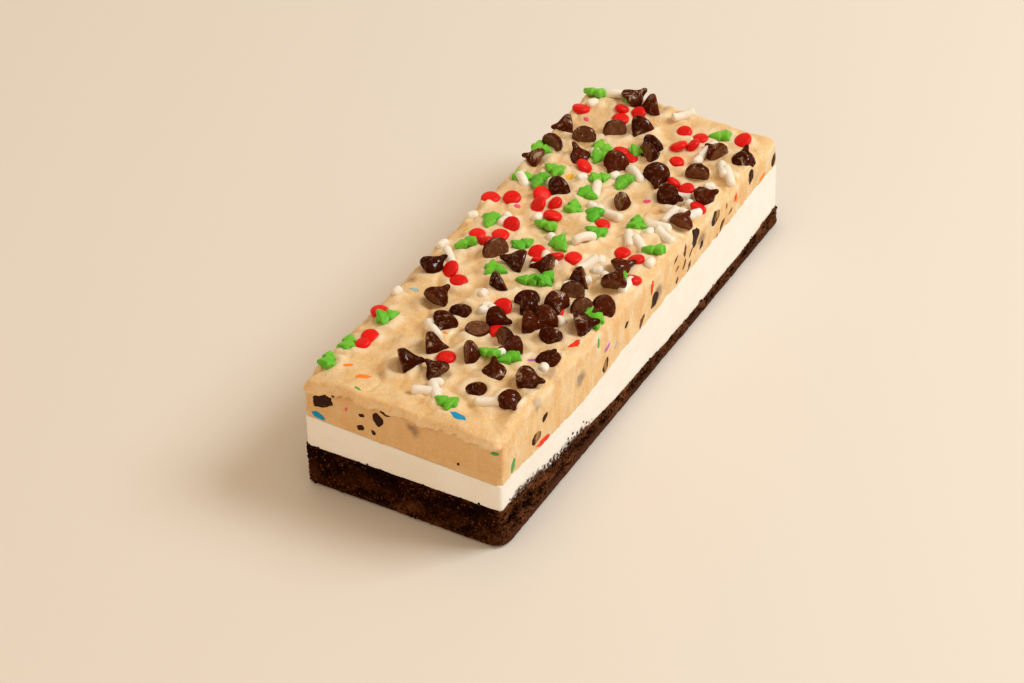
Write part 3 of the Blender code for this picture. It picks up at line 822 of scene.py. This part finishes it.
# Cut pieces: chips, crumbs of chocolate and coloured sugar that the knife cut through, lying flush in the
# dough's faces, and flecks of sugar that melted into its skin. Each is draped over the dough.
# Rows: (face, distance along it, height or distance away, length, slant), in millimetres and degrees, with
# (reach, number) after it for several pieces. A seeded draw varies their size and slant.
CHOCOLATE_SLICES = (
    ("front", 5, 24, 6.5, 35), ("front", 21, 27, 4, -25), ("front", 19, 24, 4, 80),
    ("front", 16, 22, 2, 10, 2, 3), ("front", 9, 28, 1, 0), ("front", 39, 20, 1, 0),
    ("right", 16, 20, 5, 25), ("right", 20, 23, 3, 30), ("right", 47, 18, 5, 60), ("right", 57, 22, 2, 45),
    ("right", 70, 20, 5, 55), ("right", 81, 18, 2, 50), ("right", 90, 24, 6, 65),
    ("right", 93, 20, 2.5, 40), ("right", 100, 23, 5.5, 25), ("right", 118, 23, 4.5, 75),
    ("right", 130, 20, 4, 45), ("left", 70, 22, 3.5, 30, 50, 7), ("back", 25, 20, 4, 20, 15, 3),
)
BROWN_CLUSTERS = (
    ("right", 64, 18, 4.5, 60), ("right", 84, 21, 3, 50, 4, 6), ("right", 103, 20, 3, 45, 5, 5),
    ("left", 66, 22, 3, 30), ("back", 20, 18, 3, 10),
)
BLUES = (
    ("front", 4, 20, 4.5, -10), ("top", 38, 4, 5, -10), ("left", 107, 20, 3.5, 15),
)
PALE_BLUES = (
    ("top", 6, 39, 3, 20), ("right", 52, 20, 2, 60), ("right", 121, 21, 2.5, 45),
)
PINKS = (
    ("front", 11, 24, 1.5, 60), ("top", 10, 78, 2, 40), ("top", 35, 94, 2, 10), ("top", 6, 118, 2, -30),
)
PURPLES = (
    ("top", 24, 17, 3, 10), ("top", 42, 28, 3, 30), ("top", 36, 52, 2, 60), ("right", 48, 22, 3.5, 20),
    ("left", 35, 22, 2.5, -15),
)
ORANGES = (
    ("top", 8, 8, 3, 60), ("top", 13, 6, 4, 30), ("top", 21, 27, 1.5, 0), ("top", 10, 42, 2, 80),
    ("top", 39, 91, 2, 20), ("right", 124, 19, 4, 5), ("right", 111, 21, 2.5, 90), ("left", 12, 24, 3, 20),
)
YELLOWS = (
    ("top", 15, 94, 2.5, 0), ("top", 4, 65, 2, 50), ("top", 47, 71, 1.5, 30),
)
REDS = (
    ("right", 19, 17, 7, -10), ("right", 69, 24, 4.5, 80), ("top", 47, 38, 4, 70),
    ("right", 110, 22, 3, 65), ("back", 33, 22, 3.5, 20), ("left", 86, 24, 4, -30),
)
GREENS = (
    ("front", 48, 26, 2.5, 10), ("right", 6, 20, 4.5, 85), ("top", 14, 2, 2, 0), ("right", 44, 26, 3, 80),
    ("back", 6, 22, 3, -20),
)
# Kinds: rows, colour, how ragged the outline is, width as a share of the length.
CUT_KINDS = (
    (CHOCOLATE_SLICES, (0.036, 0.0105, 0.0045, 1), 0.15, 0.65),
    (BROWN_CLUSTERS, (0.150, 0.048, 0.017, 1), 0.50, 0.36),
    (BLUES, (0.010, 0.300, 0.560, 1), 0.12, 0.40),
    (PALE_BLUES, (0.330, 0.480, 0.500, 1), 0.30, 0.45),
    (PINKS, (0.850, 0.100, 0.220, 1), 0.25, 0.60),
    (PURPLES, (0.560, 0.150, 0.480, 1), 0.25, 0.38),
    (ORANGES, (0.950, 0.240, 0.030, 1), 0.30, 0.45),
    (YELLOWS, (0.900, 0.520, 0.050, 1), 0.25, 0.62),
    (REDS, (0.820, 0.040, 0.015, 1), 0.20, 0.34),
    (GREENS, (0.100, 0.360, 0.090, 1), 0.35, 0.40),
)
CUT_SIZE_STRAY = 0.07
CUT_WIDTHS = (0.85, 1.15)
CUT_SLANT_STRAY = 7
CUT_BAND = 4
CUT_SIDES = 42
CUT_CORNERS = 6
CUT_RINGS = 6
CUT_REACH = 40 * MM
CUT_START = 5 * MM
CUT_PROUD = 0.07 * MM
CUT_SUNK = 0.35 * MM

dough_surface = BVHTree.FromPolygons(
    [vertex.co for vertex in dough.data.vertices], [polygon.vertices for polygon in dough.data.polygons]
)
half_width, half_length = BAR_WIDTH / 2, BAR_LENGTH / 2
FACES = {
    "front": (Vector((-half_width, -half_length, 0)), Vector((1, 0, 0)), Vector((0, 0, 1))),
    "right": (Vector((half_width, -half_length, 0)), Vector((0, 1, 0)), Vector((0, 0, 1))),
    "left": (Vector((-half_width, -half_length, 0)), Vector((0, 1, 0)), Vector((0, 0, 1))),
    "back": (Vector((-half_width, half_length, 0)), Vector((1, 0, 0)), Vector((0, 0, 1))),
    "top": (Vector((-half_width, -half_length, 0.04)), Vector((1, 0, 0)), Vector((0, 1, 0))),
}
OUTWARD = {"front": (0, -1, 0), "right": (1, 0, 0), "left": (-1, 0, 0), "back": (0, 1, 0), "top": (0, 0, 1)}
cutting = random.Random(7)
cut_through = {face: [] for face in FACES}


def cut_spots(rows, slim):
    """Face, place, length, width and slant of each piece of a kind. Each takes the freest of some places, and
    the more pieces a row has, the more they differ in size and slant."""
    for face, along, up, length, slant, *group in rows:
        reach, number = group or (0, 1)
        for _ in range(number):
            tries = [
                (along + cutting.uniform(-reach, reach), up + cutting.uniform(-1, 1) * min(reach, CUT_BAND))
                for _ in range(TRIES)
            ]
            place = max(tries, key=lambda spot: min(
                (math.dist(spot, other) for other in cut_through[face]), default=0))
            cut_through[face].append(place)
            long = length * (1 + cutting.uniform(-CUT_SIZE_STRAY, CUT_SIZE_STRAY) * number)
            wide = long * slim * cutting.uniform(*CUT_WIDTHS)
            turn = slant + cutting.uniform(-CUT_SLANT_STRAY, CUT_SLANT_STRAY) * number
            yield face, *place, long, wide, turn


def drape(mesh, colour_layer, film_layer, colour, ragged, spot):
    """Adds one flat piece with a ragged outline, which follows the dough and stands a little proud of it. The
    film is the share of dough that the knife drew over it."""
    face, first, second, long, wide, angle = spot
    corner, along, up = FACES[face]
    outward = Vector(OUTWARD[face])
    tilt = math.radians(angle)

    def on_dough(p, q, lift):
        p, q = p * math.cos(tilt) - q * math.sin(tilt), p * math.sin(tilt) + q * math.cos(tilt)
        start = corner + along * ((first + p) * MM) + up * ((second + q) * MM) + outward * CUT_START
        hit, normal, _, _ = dough_surface.ray_cast(start, -outward, CUT_REACH)
        if hit is None:
            hit, normal, _, _ = dough_surface.find_nearest(start - outward * CUT_START)
        vert = mesh.verts.new(hit + normal * lift)
        vert[colour_layer] = colour
        vert[film_layer] = 1.0 if face == "right" else 0.0
        return vert

    rings = []
    corners = []
    for n in range(CUT_CORNERS):
        shift, stretch = relief((n, first, second), 0.37), relief((n, second, first), 0.37)
        corners.append((2 * math.pi * (n + 0.7 * shift) / CUT_CORNERS, 1.08 + 0.35 * stretch))
    corners.append((corners[0][0] + 2 * math.pi, corners[0][1]))
    for step in range(1, CUT_RINGS + 1):
        share = step / CUT_RINGS
        ring = []
        for side in range(CUT_SIDES):
            turn = corners[0][0] + 2 * math.pi * side / CUT_SIDES
            before, after = next(pair for pair in zip(corners, corners[1:]) if turn <= pair[1][0])
            straight = before[1] * after[1] * math.sin(after[0] - before[0]) / (
                before[1] * math.sin(turn - before[0]) + after[1] * math.sin(after[0] - turn))
            edge = straight + ragged * (relief((math.cos(turn), math.sin(turn), first + second), 0.9)
                                        + 0.7 * relief((math.cos(turn), math.sin(turn), first - second), 0.35)
                                        + 0.3 * relief((math.cos(turn), math.sin(turn), first), 0.12))
            reach = share * (1 + (edge - 1) * share)
            lift = CUT_PROUD * math.sqrt(1 - (share * 0.94) ** 2) if step < CUT_RINGS else -CUT_SUNK
            ring.append(on_dough(reach * long / 2 * math.cos(turn), reach * wide / 2 * math.sin(turn), lift))
        rings.append(ring)
    middle = on_dough(0, 0, CUT_PROUD)
    under = on_dough(0, 0, -2 * CUT_SUNK)
    for side in range(CUT_SIDES):
        mesh.faces.new((middle, rings[0][side - 1], rings[0][side]))
        mesh.faces.new((under, rings[-1][side], rings[-1][side - 1]))
        for inner, outer in zip(rings, rings[1:]):
            mesh.faces.new((inner[side - 1], outer[side - 1], outer[side], inner[side]))


cut_material, tree, shader = new_material(
    "chocolate and sugar in the dough", Roughness=0.45, Specular_IOR_Level=0.05, Subsurface_Weight=0.1,
    Subsurface_Radius=(1.0, 0.7, 0.5), Subsurface_Scale=0.8 * MM,
)
cut_grain = grain(tree, 0.9 * MM, 0.3 * MM, 0.5)
cut_colour = node(tree, "ShaderNodeAttribute", attribute_name="colour")
veil = ramp(tree, cut_grain.outputs["Height"], 0.56, 0.74, 0.16)
pulled_down = on_object(tree, "ShaderNodeMapping", Rotation=(KNIFE_SLANT, 0, 0), Scale=(1.0, 1.0, 0.25))
pulls = node(tree, "ShaderNodeTexNoise", {
    "Vector": pulled_down.outputs["Vector"], "Scale": 620.0, "Detail": 4.0, "Distortion": 0.5,
})
filmed = times(tree, ramp(tree, pulls.outputs["Fac"], 0.55, 0.66, 0.5), share_of(tree, "film"))
veiled = two_colours(tree, veil, cut_colour.outputs["Color"], DOUGH_DEEP)
tree.links.new(two_colours(tree, filmed, veiled, DOUGH_MARK), shader.inputs["Base Color"])
bump(tree, shader, cut_grain.outputs["Height"], 0.12 * MM)
cut_mesh = bmesh.new()
colour_layer = cut_mesh.verts.layers.float_color.new("colour")
film_layer = cut_mesh.verts.layers.float.new("film")
for rows, colour, ragged, slim in CUT_KINDS:
    for spot in cut_spots(rows, slim):
        drape(cut_mesh, colour_layer, film_layer, colour, ragged, spot)
bmesh.ops.recalc_face_normals(cut_mesh, faces=cut_mesh.faces[:])
for face in cut_mesh.faces:
    face.smooth = True
cut_pieces = new_object("chocolate_and_sugar_in_dough", cut_mesh, cut_material)
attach(cut_pieces, "root")
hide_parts("cookie_dough")


# Chocolate chips: small plump baking drops of dark chocolate with a flat base and a bent tip, pressed into
# the dough leaning, on their sides or upside down.
CHIP_RADIUS = 2.95 * MM
CHIP_HEIGHT = 5.4 * MM
CHIP_DEPTH = 1.8 * MM
CHIP_TIP_DEPTH = 3.2 * MM
TIPPED_OVER = 150
CHIP_KINDS = 8
CHIP_SIDES = 26
MARGIN = 0.6 * MM
CHIP_PROFILE = (
    (0.0, 0.0), (0.45, 0.01), (0.86, 0.0), (0.95, 0.02), (0.99, 0.08), (1.0, 0.16), (0.97, 0.25),
    (0.89, 0.34), (0.76, 0.43), (0.60, 0.52), (0.45, 0.60), (0.34, 0.68), (0.27, 0.76), (0.235, 0.84),
    (0.20, 0.91), (0.14, 0.965), (0.07, 0.993), (0.0, 1.0),
)
CHOCOLATE = (0.092, 0.0140, 0.0022, 1)
CHOCOLATE_DARK = (0.040, 0.0056, 0.0009, 1)
CHOCOLATE_BLOOM = (0.190, 0.074, 0.032, 1)
DOUGH_SMEAR = (0.52, 0.37, 0.24, 1)


def turned(profile, sides):
    """Solid of revolution about Z, from a profile of (radius, height) that starts and ends on the axis."""
    solid = bmesh.new()
    points = [solid.verts.new((radius, 0, height)) for radius, height in profile]
    edges = [solid.edges.new(pair) for pair in zip(points, points[1:])]
    bmesh.ops.spin(
        solid, geom=points + edges, axis=(0, 0, 1), cent=(0, 0, 0), angle=2 * math.pi, steps=sides,
        use_merge=True,
    )
    bmesh.ops.remove_doubles(solid, verts=solid.verts[:], dist=0.002 * MM)
    bmesh.ops.recalc_face_normals(solid, faces=solid.faces[:])
    for face in solid.faces:
        face.smooth = True
    return solid


def laying_tree(name, more_inputs, laid_by):
    """Geometry Nodes tree that lays one of some pieces on each point, turned and sized, as a single mesh.
    laid_by gives the points and each piece's kind, turn and size."""
    tree = bpy.data.node_groups.new(name, "GeometryNodeTree")
    for socket, kind in (("Source", "NodeSocketGeometry"), ("Pieces", "NodeSocketCollection"),
                         ("Material", "NodeSocketMaterial"), *more_inputs):
        tree.interface.new_socket(socket, in_out="INPUT", socket_type=kind)
    tree.interface.new_socket("Mesh", in_out="OUTPUT", socket_type="NodeSocketGeometry")
    entry = node(tree, "NodeGroupInput")
    pieces = node(tree, "GeometryNodeCollectionInfo", {
        "Collection": entry.outputs["Pieces"], "Separate Children": True, "Reset Children": True,
    })
    points, kind, turn, size = laid_by(tree, entry)
    laid = node(tree, "GeometryNodeInstanceOnPoints", {
        "Points": points, "Instance": pieces.outputs["Instances"], "Pick Instance": True,
        "Instance Index": kind, "Rotation": turn, "Scale": size,
    })
    realized = node(tree, "GeometryNodeRealizeInstances", {"Geometry": laid.outputs["Instances"]})
    dressed = node(tree, "GeometryNodeSetMaterial", {
        "Geometry": realized.outputs["Geometry"], "Material": entry.outputs["Material"],
    })
    node(tree, "NodeGroupOutput", {"Mesh": dressed.outputs["Geometry"]})
    return tree


def stored(tree, name, kind):
    """Output with the values that the points store under a name."""
    return node(tree, "GeometryNodeInputNamedAttribute", {"Name": name}, data_type=kind).outputs["Attribute"]


def strewn_by(tree, entry):
    """The source's own points, with the kind, turn and size stored in them."""
    turn = node(tree, "FunctionNodeEulerToRotation", {"Euler": stored(tree, "turn", "FLOAT_VECTOR")})
    return (entry.outputs["Source"], stored(tree, "kind", "INT"), turn.outputs["Rotation"],
            stored(tree, "size", "FLOAT_VECTOR"))


STREWING = laying_tree("strewing", (), strewn_by)


def grown(name, source, tree, inputs):
    """Plain mesh object from a Geometry Nodes tree run over a source object, which is removed."""
    modifier = source.modifiers.new("grown", "NODES")
    modifier.node_group = tree
    for item in tree.interface.items_tree:
        if item.name in inputs:
            modifier[item.identifier] = inputs[item.name]
    bpy.context.view_layer.update()
    data = bpy.data.meshes.new_from_object(source.evaluated_get(bpy.context.evaluated_depsgraph_get()))
    bpy.data.objects.remove(source)
    data.name = name
    made = bpy.data.objects.new(name, data)
    bpy.context.scene.collection.objects.link(made)
    return made


def inside(place, reaches, half_size):
    """The place, moved where needed so that reaches to both ways from it stay within the half size."""
    return min(max(place, -half_size - min(reaches)), half_size - max(reaches))


def strewn(name, masters, pieces, material):
    """Pieces (kind, place, turn, size, depth, tone) laid on the dough and pressed into it, as one object."""
    store = bpy.data.collections.new(name + " masters")
    shapes = []
    for number, master in enumerate(masters):
        shapes.append([vertex.co.copy() for vertex in master.verts])
        piece = new_object(f"{name} {number:02d}", master, material)
        bpy.context.scene.collection.objects.unlink(piece)
        store.objects.link(piece)
    points = bmesh.new()
    for kind, place, turn, size, depth, tone in pieces:
        tip = turn.to_matrix() @ Matrix.Diagonal(size)
        spread = [tip @ point for point in shapes[kind]]
        x = inside(place.x * MM - BAR_WIDTH / 2, [point.x for point in spread], BAR_WIDTH / 2 - MARGIN)
        y = inside(place.y * MM - BAR_LENGTH / 2, [point.y for point in spread], BAR_LENGTH / 2 - MARGIN)
        points.verts.new((x, y, dough_top(x, y) - min(point.z for point in spread) - depth))
    source = new_object(name + " points", points, material)
    kinds, _, turns, sizes, _, tones = zip(*pieces)
    for label, kind, field, values in (
        ("kind", "INT", "value", kinds), ("turn", "FLOAT_VECTOR", "vector", [Vector(turn) for turn in turns]),
        ("size", "FLOAT_VECTOR", "vector", sizes), ("tone", "FLOAT", "value", tones),
    ):
        attribute = source.data.attributes.new(label, kind, "POINT")
        for item, value in zip(attribute.data, values):
            setattr(item, field, value)
    made = grown(name, source, STREWING, {"Pieces": store, "Material": material})
    for piece in store.objects[:]:
        bpy.data.objects.remove(piece)
    bpy.data.collections.remove(store)
    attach(made, "root")
    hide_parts("cookie_dough")
    return made


def chip_master(number):
    """Chip with the bend of its kind and slightly uneven sides. The attribute flat marks its base."""
    profile = [(radius * CHIP_RADIUS, height * CHIP_HEIGHT) for radius, height in CHIP_PROFILE]
    solid = turned(profile, CHIP_SIDES)
    flat = solid.verts.layers.float.new("flat")
    bend = CHIP_BEND * (number + 0.5) / CHIP_KINDS
    for vertex in solid.verts:
        point = vertex.co.copy()
        vertex[flat] = 1 - smooth(0.0, 0.05 * CHIP_HEIGHT, point.z)
        apart = Vector((number * 0.01, 0, 0))
        uneven = 0.08 * relief(point + apart, 1.9 * MM) + 0.045 * relief(point + apart, 0.8 * MM)
        vertex.co = Vector((point.x * (1 + uneven), point.y * (1 + uneven), point.z))
        vertex.co.x += bend * CHIP_HEIGHT * (point.z / CHIP_HEIGHT) ** 2.4
    return solid


chip_material, tree, shader = new_material("chocolate", Specular_IOR_Level=0.0, Coat_Roughness=0.13)
chip_grain = grain(tree, 0.9 * MM, 0.25 * MM, 0.4)
bloom = node(tree, "ShaderNodeMapRange", {"Value": chip_grain.outputs["Mask"], "To Min": 0.5})
chocolate = two_colours(tree, share_of(tree, "tone"), CHOCOLATE_DARK, CHOCOLATE)
bloomed = times(tree, share_of(tree, "flat"), bloom.outputs["Result"])
bare_chocolate = two_colours(tree, bloomed, chocolate, CHOCOLATE_BLOOM)
smearing = on_object(tree, "ShaderNodeTexNoise", Scale=300.0, Detail=6.0, Roughness=0.75, Distortion=1.2)
smeared_share = node(tree, "ShaderNodeMath", {
    0: share_of(tree, "crown"), 1: 0.085, 2: smearing.outputs["Fac"],
}, operation="MULTIPLY_ADD")
dough_smears = ramp(tree, smeared_share.outputs[0], 0.60, 0.70, 0.75)
tree.links.new(two_colours(tree, dough_smears, bare_chocolate, DOUGH_SMEAR), shader.inputs["Base Color"])
tree.links.new(ramp(tree, chip_grain.outputs["Height"], 0.51, 0.57), shader.inputs["Coat Weight"])
chip_roughness = node(tree, "ShaderNodeMapRange", {
    "Value": share_of(tree, "flat"), "To Min": 0.30, "To Max": 0.6,
})
tree.links.new(chip_roughness.outputs["Result"], shader.inputs["Roughness"])
bump(tree, shader, chip_grain.outputs["Height"], 0.34 * MM)
chip_pieces = strewn(
    "chocolate_chips", [chip_master(number) for number in range(CHIP_KINDS)],
    [(int(bend / CHIP_BEND * CHIP_KINDS), place, Euler((0, math.radians(lean), turn)),
      Vector((size, size, size)), CHIP_DEPTH if lean < TIPPED_OVER else CHIP_TIP_DEPTH,
      relief((place.x, place.y, 0), 7.3) + 0.5)
     for place, size, bend, lean, turn in chips],
    chip_material,
)
store_shares(chip_pieces.data, ("crown",), lambda vertex: (
    smooth(0.2, 0.9, vertex.normal.z) * smooth(-0.15, 0.25, relief(vertex.co, 9 * MM)),
))


# Sugar trees: small pillow-like fir trees of pressed green sugar, with two tiers and a trunk, lying nearly
# flat.
TREE_HEIGHT = 5.6 * MM
TREE_WIDTH = 4.9 * MM
TREE_THICKNESS = 2.1 * MM
TREE_SIDES = 20
SUGAR_KINDS = 5
# Heights up the tree, with half its width and its thickness there, each as a share of the whole.
TREE_PROFILE = (
    (0.00, 0.05, 0.40), (0.01, 0.11, 0.70), (0.04, 0.14, 0.85), (0.10, 0.15, 0.85), (0.125, 0.20, 0.85),
    (0.135, 0.36, 0.90), (0.155, 0.47, 0.98), (0.19, 0.505, 1.00), (0.24, 0.49, 1.00), (0.34, 0.39, 0.96),
    (0.44, 0.28, 0.88), (0.50, 0.225, 0.82), (0.52, 0.25, 0.88), (0.54, 0.31, 0.93), (0.57, 0.335, 0.95),
    (0.62, 0.315, 0.93), (0.72, 0.24, 0.86), (0.84, 0.155, 0.76), (0.93, 0.09, 0.62), (0.98, 0.05, 0.45),
    (1.00, 0.015, 0.15),
)
SPRINKLE_DEPTH = 0.55 * MM
GREEN = (0.070, 0.42, 0.013, 1)
GREEN_LIGHT = (0.240, 0.62, 0.050, 1)


def power(value, exponent):
    return math.copysign(abs(value) ** exponent, value)


def tree_master(number):
    """Loft up the tree's height of rounded cross-sections."""
    solid = bmesh.new()
    rings = []
    for height, half_width, thick in TREE_PROFILE:
        ring = []
        for step in range(TREE_SIDES):
            angle = 2 * math.pi * step / TREE_SIDES
            wobble = 1 + 0.12 * relief((math.cos(angle), math.sin(angle), height * 4 + 5 * number), 0.7)
            ring.append(solid.verts.new((
                half_width * TREE_WIDTH * power(math.cos(angle), 0.85) * wobble,
                (height - 0.45) * TREE_HEIGHT,
                thick * TREE_THICKNESS / 2 * power(math.sin(angle), 0.70) * wobble,
            )))
        rings.append(ring)
    for low, high in zip(rings, rings[1:]):
        for n in range(TREE_SIDES):
            solid.faces.new((low[n - 1], low[n], high[n], high[n - 1]))
    solid.faces.new(rings[0])
    solid.faces.new(rings[-1])
    bmesh.ops.recalc_face_normals(solid, faces=solid.faces[:])
    for face in solid.faces:
        face.smooth = True
    return solid


def sugar_material(name, deep, light):
    """Pressed sugar: a deep and a light tone of its colour, with a fine powdery grain and a soft gloss."""
    material, tree, shader = new_material(
        name, Roughness=0.36, Specular_IOR_Level=0.20, Subsurface_Weight=0.15,
        Subsurface_Radius=(1.0, 0.8, 0.6), Subsurface_Scale=0.5 * MM,
    )
    sugar_grain = grain(tree, 1.1 * MM, 0.3 * MM, 0.4)
    mixed = node(tree, "ShaderNodeMix", {
        "Factor": 0.5, "A": share_of(tree, "tone"), "B": sugar_grain.outputs["Mask"],
    })
    tree.links.new(two_colours(tree, mixed.outputs["Result"], deep, light), shader.inputs["Base Color"])
    bump(tree, shader, sugar_grain.outputs["Height"], 0.14 * MM)
    return material


def plain_pieces(posed_pieces, kinds, size_of):
    """Pieces for strewing, each with a kind and a tone of its own."""
    return [
        (number % kinds, place, Euler((0, math.radians(lean), turn)), size_of(size), SPRINKLE_DEPTH,
         min(max(0.5 + relief((place.x, place.y, 3), 3.7), 0.0), 1.0))
        for number, (place, size, _, lean, turn) in enumerate(posed_pieces)
    ]


strewn(
    "green_sugar_trees", [tree_master(number) for number in range(SUGAR_KINDS)],
    plain_pieces(trees, SUGAR_KINDS, lambda size: Vector((size, size, size))),
    sugar_material("green sugar", GREEN, GREEN_LIGHT),
)


# Red discs: round lens-shaped sugar discs with a soft rim, tipped in the dough.
DISC_RADIUS = 2.1 * MM
DISC_THICKNESS = 1.8 * MM
DISC_RINGS = 12
DISC_SIDES = 26
RED = (0.60, 0.003, 0.002, 1)
RED_LIGHT = (0.90, 0.011, 0.005, 1)


def disc_master(number):
    """Disc turned from an arc flattened at its faces."""
    profile = []
    for step in range(DISC_RINGS + 1):
        angle = math.pi * (step / DISC_RINGS - 0.5)
        profile.append((DISC_RADIUS * abs(math.cos(angle)) ** 0.5 if 0 < step < DISC_RINGS else 0.0,
                        DISC_THICKNESS / 2 * math.sin(angle)))
    solid = turned(profile, DISC_SIDES)
    for vertex in solid.verts:
        vertex.co *= 1 + 0.04 * relief(vertex.co + Vector((number * 0.01, 0, 0)), 2.0 * MM)
    return solid


strewn(
    "red_sugar_discs", [disc_master(number) for number in range(SUGAR_KINDS)],
    plain_pieces(discs, SUGAR_KINDS, lambda size: Vector((size, size, 1.0))),
    sugar_material("red sugar", RED, RED_LIGHT),
)


# White rods and pearls: sugar strands broken to different lengths, round at the ends, some bent.
ROD_RADIUS = 1.1 * MM
ROD_LENGTH = 7.0 * MM
ROD_CAP = 0.8 * ROD_RADIUS
ROD_CAP_STEPS = 5
PEARL_LENGTH = 2.9 * MM
PEARL_KINDS = 4
ROD_SIDES = 16
ROD_BENDS = (0.0, 0.35, -0.5, 0.9, 0.15, -0.2)
WHITE = (0.86, 0.76, 0.61, 1)
WHITE_LIGHT = (0.93, 0.87, 0.77, 1)


def rod_master(length, bend, number):
    """Rod with round ends, bent along its length."""
    profile = []
    for step in range(ROD_CAP_STEPS + 1):
        angle = math.pi / 2 * step / ROD_CAP_STEPS
        profile.append((ROD_RADIUS * math.sin(angle), -length / 2 + ROD_CAP * (1 - math.cos(angle))))
    middle = [(ROD_RADIUS, (length / 2 - ROD_CAP) * share) for share in (-0.6, -0.2, 0.2, 0.6)]
    profile += middle + [(radius, -height) for radius, height in reversed(profile)]
    solid = turned(profile, ROD_SIDES)
    for vertex in solid.verts:
        along = 2 * vertex.co.z / length
        thick = 1 + 0.07 * relief((number, 0, vertex.co.z / MM), 2.5)
        vertex.co.x = vertex.co.x * thick + bend * MM * (along ** 2 - 0.4)
        vertex.co.y *= thick
    return solid


white_sugar = sugar_material("white sugar", WHITE, WHITE_LIGHT)
strewn(
    "white_sugar_rods", [rod_master(ROD_LENGTH, bend, number) for number, bend in enumerate(ROD_BENDS)],
    plain_pieces(rods, len(ROD_BENDS), lambda size: Vector((1.0, 1.0, size))), white_sugar,
)
strewn(
    "white_sugar_pearls", [rod_master(PEARL_LENGTH, 0.0, number) for number in range(PEARL_KINDS)],
    plain_pieces(pearls, PEARL_KINDS, lambda size: Vector((1.0, 1.0, size))), white_sugar,
)


# Crumbs: small broken grains of baked brownie that stand out of its cut sides, with a few caught on the lower
# edge of the ice cream along the right side, where the knife dragged them.
CRUMB_DENSITY = 1.2e6
CRUMB_SIZES = (0.10 * MM, 0.36 * MM)
CRUMB_KINDS = 5
CRUMB_SEED = 7
FULL_TURN = 6.28
SIDE_DEPTH = 1.5 * MM
BARE_FOOT = 0.5 * MM


def crumb_master(number):
    """Small angular lump."""
    lump = bmesh.new()
    bmesh.ops.create_icosphere(lump, subdivisions=1, radius=1.0)
    for vertex in lump.verts:
        vertex.co *= 1 + 0.45 * relief(vertex.co + Vector((number * 3.0, 0, 0)), 0.8)
    return lump


def crumbled_by(tree, entry):
    """Points scattered over the source where its attribute crumbs is high, each with a random kind, turn and
    size."""
    density = times(tree, entry.outputs["Density"], stored(tree, "crumbs", "FLOAT"))
    spread = node(tree, "GeometryNodeDistributePointsOnFaces", {
        "Mesh": entry.outputs["Source"], "Density": density, "Seed": entry.outputs["Seed"],
    })
    turn = node(tree, "FunctionNodeRandomValue", {
        0: (0, 0, 0), 1: (FULL_TURN, FULL_TURN, FULL_TURN), "Seed": 3,
    }, data_type="FLOAT_VECTOR")
    size = node(tree, "FunctionNodeRandomValue", {
        2: entry.outputs["Smallest"], 3: entry.outputs["Largest"], "Seed": 4,
    }, data_type="FLOAT")
    kind = node(tree, "FunctionNodeRandomValue", {4: 0, 5: CRUMB_KINDS - 1, "Seed": 5}, data_type="INT")
    return spread.outputs["Points"], kind.outputs[2], turn.outputs[0], size.outputs[1]


def crumb_share(x, y, z):
    """How thickly crumbs lie at a point of a side, from 0 to 1."""
    if z < BARE_FOOT or abs(x) < BAR_WIDTH / 2 - SIDE_DEPTH and abs(y) < BAR_LENGTH / 2 - SIDE_DEPTH:
        return 0.0
    if z < brownie_top(x, y):
        skin = baked_skin(x, y)
        skinned = 1 - smooth(*ON_RIGHT, x / BAR_WIDTH) * (1 - smooth(0.9 * skin, 1.3 * skin, z))
        return skinned * (0.35 + 0.65 * smooth(-0.2, 0.4, relief((x, y, z), 3 * MM)))
    return 1.1 * smear_share(x, y, z) * smooth(-0.1, 0.3, relief((x, y, z), 1.2 * MM))


crumb_material, tree, shader = new_material("brownie crumbs", Roughness=0.75, Specular_IOR_Level=0.0)
crumb_tone = on_object(tree, "ShaderNodeTexNoise", Scale=1300.0, Detail=2.0)
crumb_mask = node(tree, "ShaderNodeMapRange", {
    "Value": crumb_tone.outputs["Fac"], "From Min": 0.42, "From Max": 0.68,
})
crumb_colour = two_colours(tree, crumb_mask.outputs["Result"], BROWNIE_DARK, BROWNIE_CRUMB)
tree.links.new(crumb_colour, shader.inputs["Base Color"])
bump(tree, shader, crumb_tone.outputs["Fac"], 0.1 * MM)
crumb_store = bpy.data.collections.new("crumb masters")
for number in range(CRUMB_KINDS):
    master = new_object(f"crumb {number}", crumb_master(number), crumb_material)
    bpy.context.scene.collection.objects.unlink(master)
    crumb_store.objects.link(master)
sides = bpy.data.meshes.new("crumbed sides")
points, faces = [], []
for layer in (brownie, ice_cream):
    faces += [[index + len(points) for index in polygon.vertices] for polygon in layer.data.polygons]
    points += [vertex.co for vertex in layer.data.vertices]
sides.from_pydata(points, [], faces)
store_shares(sides, ("crumbs",), lambda vertex: (crumb_share(*vertex.co),))
source = bpy.data.objects.new("crumbed sides", sides)
bpy.context.scene.collection.objects.link(source)
crumbling = laying_tree("crumbling", (
    ("Density", "NodeSocketFloat"), ("Smallest", "NodeSocketFloat"), ("Largest", "NodeSocketFloat"),
    ("Seed", "NodeSocketInt"),
), crumbled_by)
crumbs = grown("brownie_crumbs", source, crumbling, {
    "Pieces": crumb_store, "Material": crumb_material, "Density": CRUMB_DENSITY,
    "Smallest": CRUMB_SIZES[0], "Largest": CRUMB_SIZES[1], "Seed": CRUMB_SEED,
})
for master in crumb_store.objects[:]:
    bpy.data.objects.remove(master)
bpy.data.collections.remove(crumb_store)
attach(crumbs, "root")
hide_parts("brownie_base")
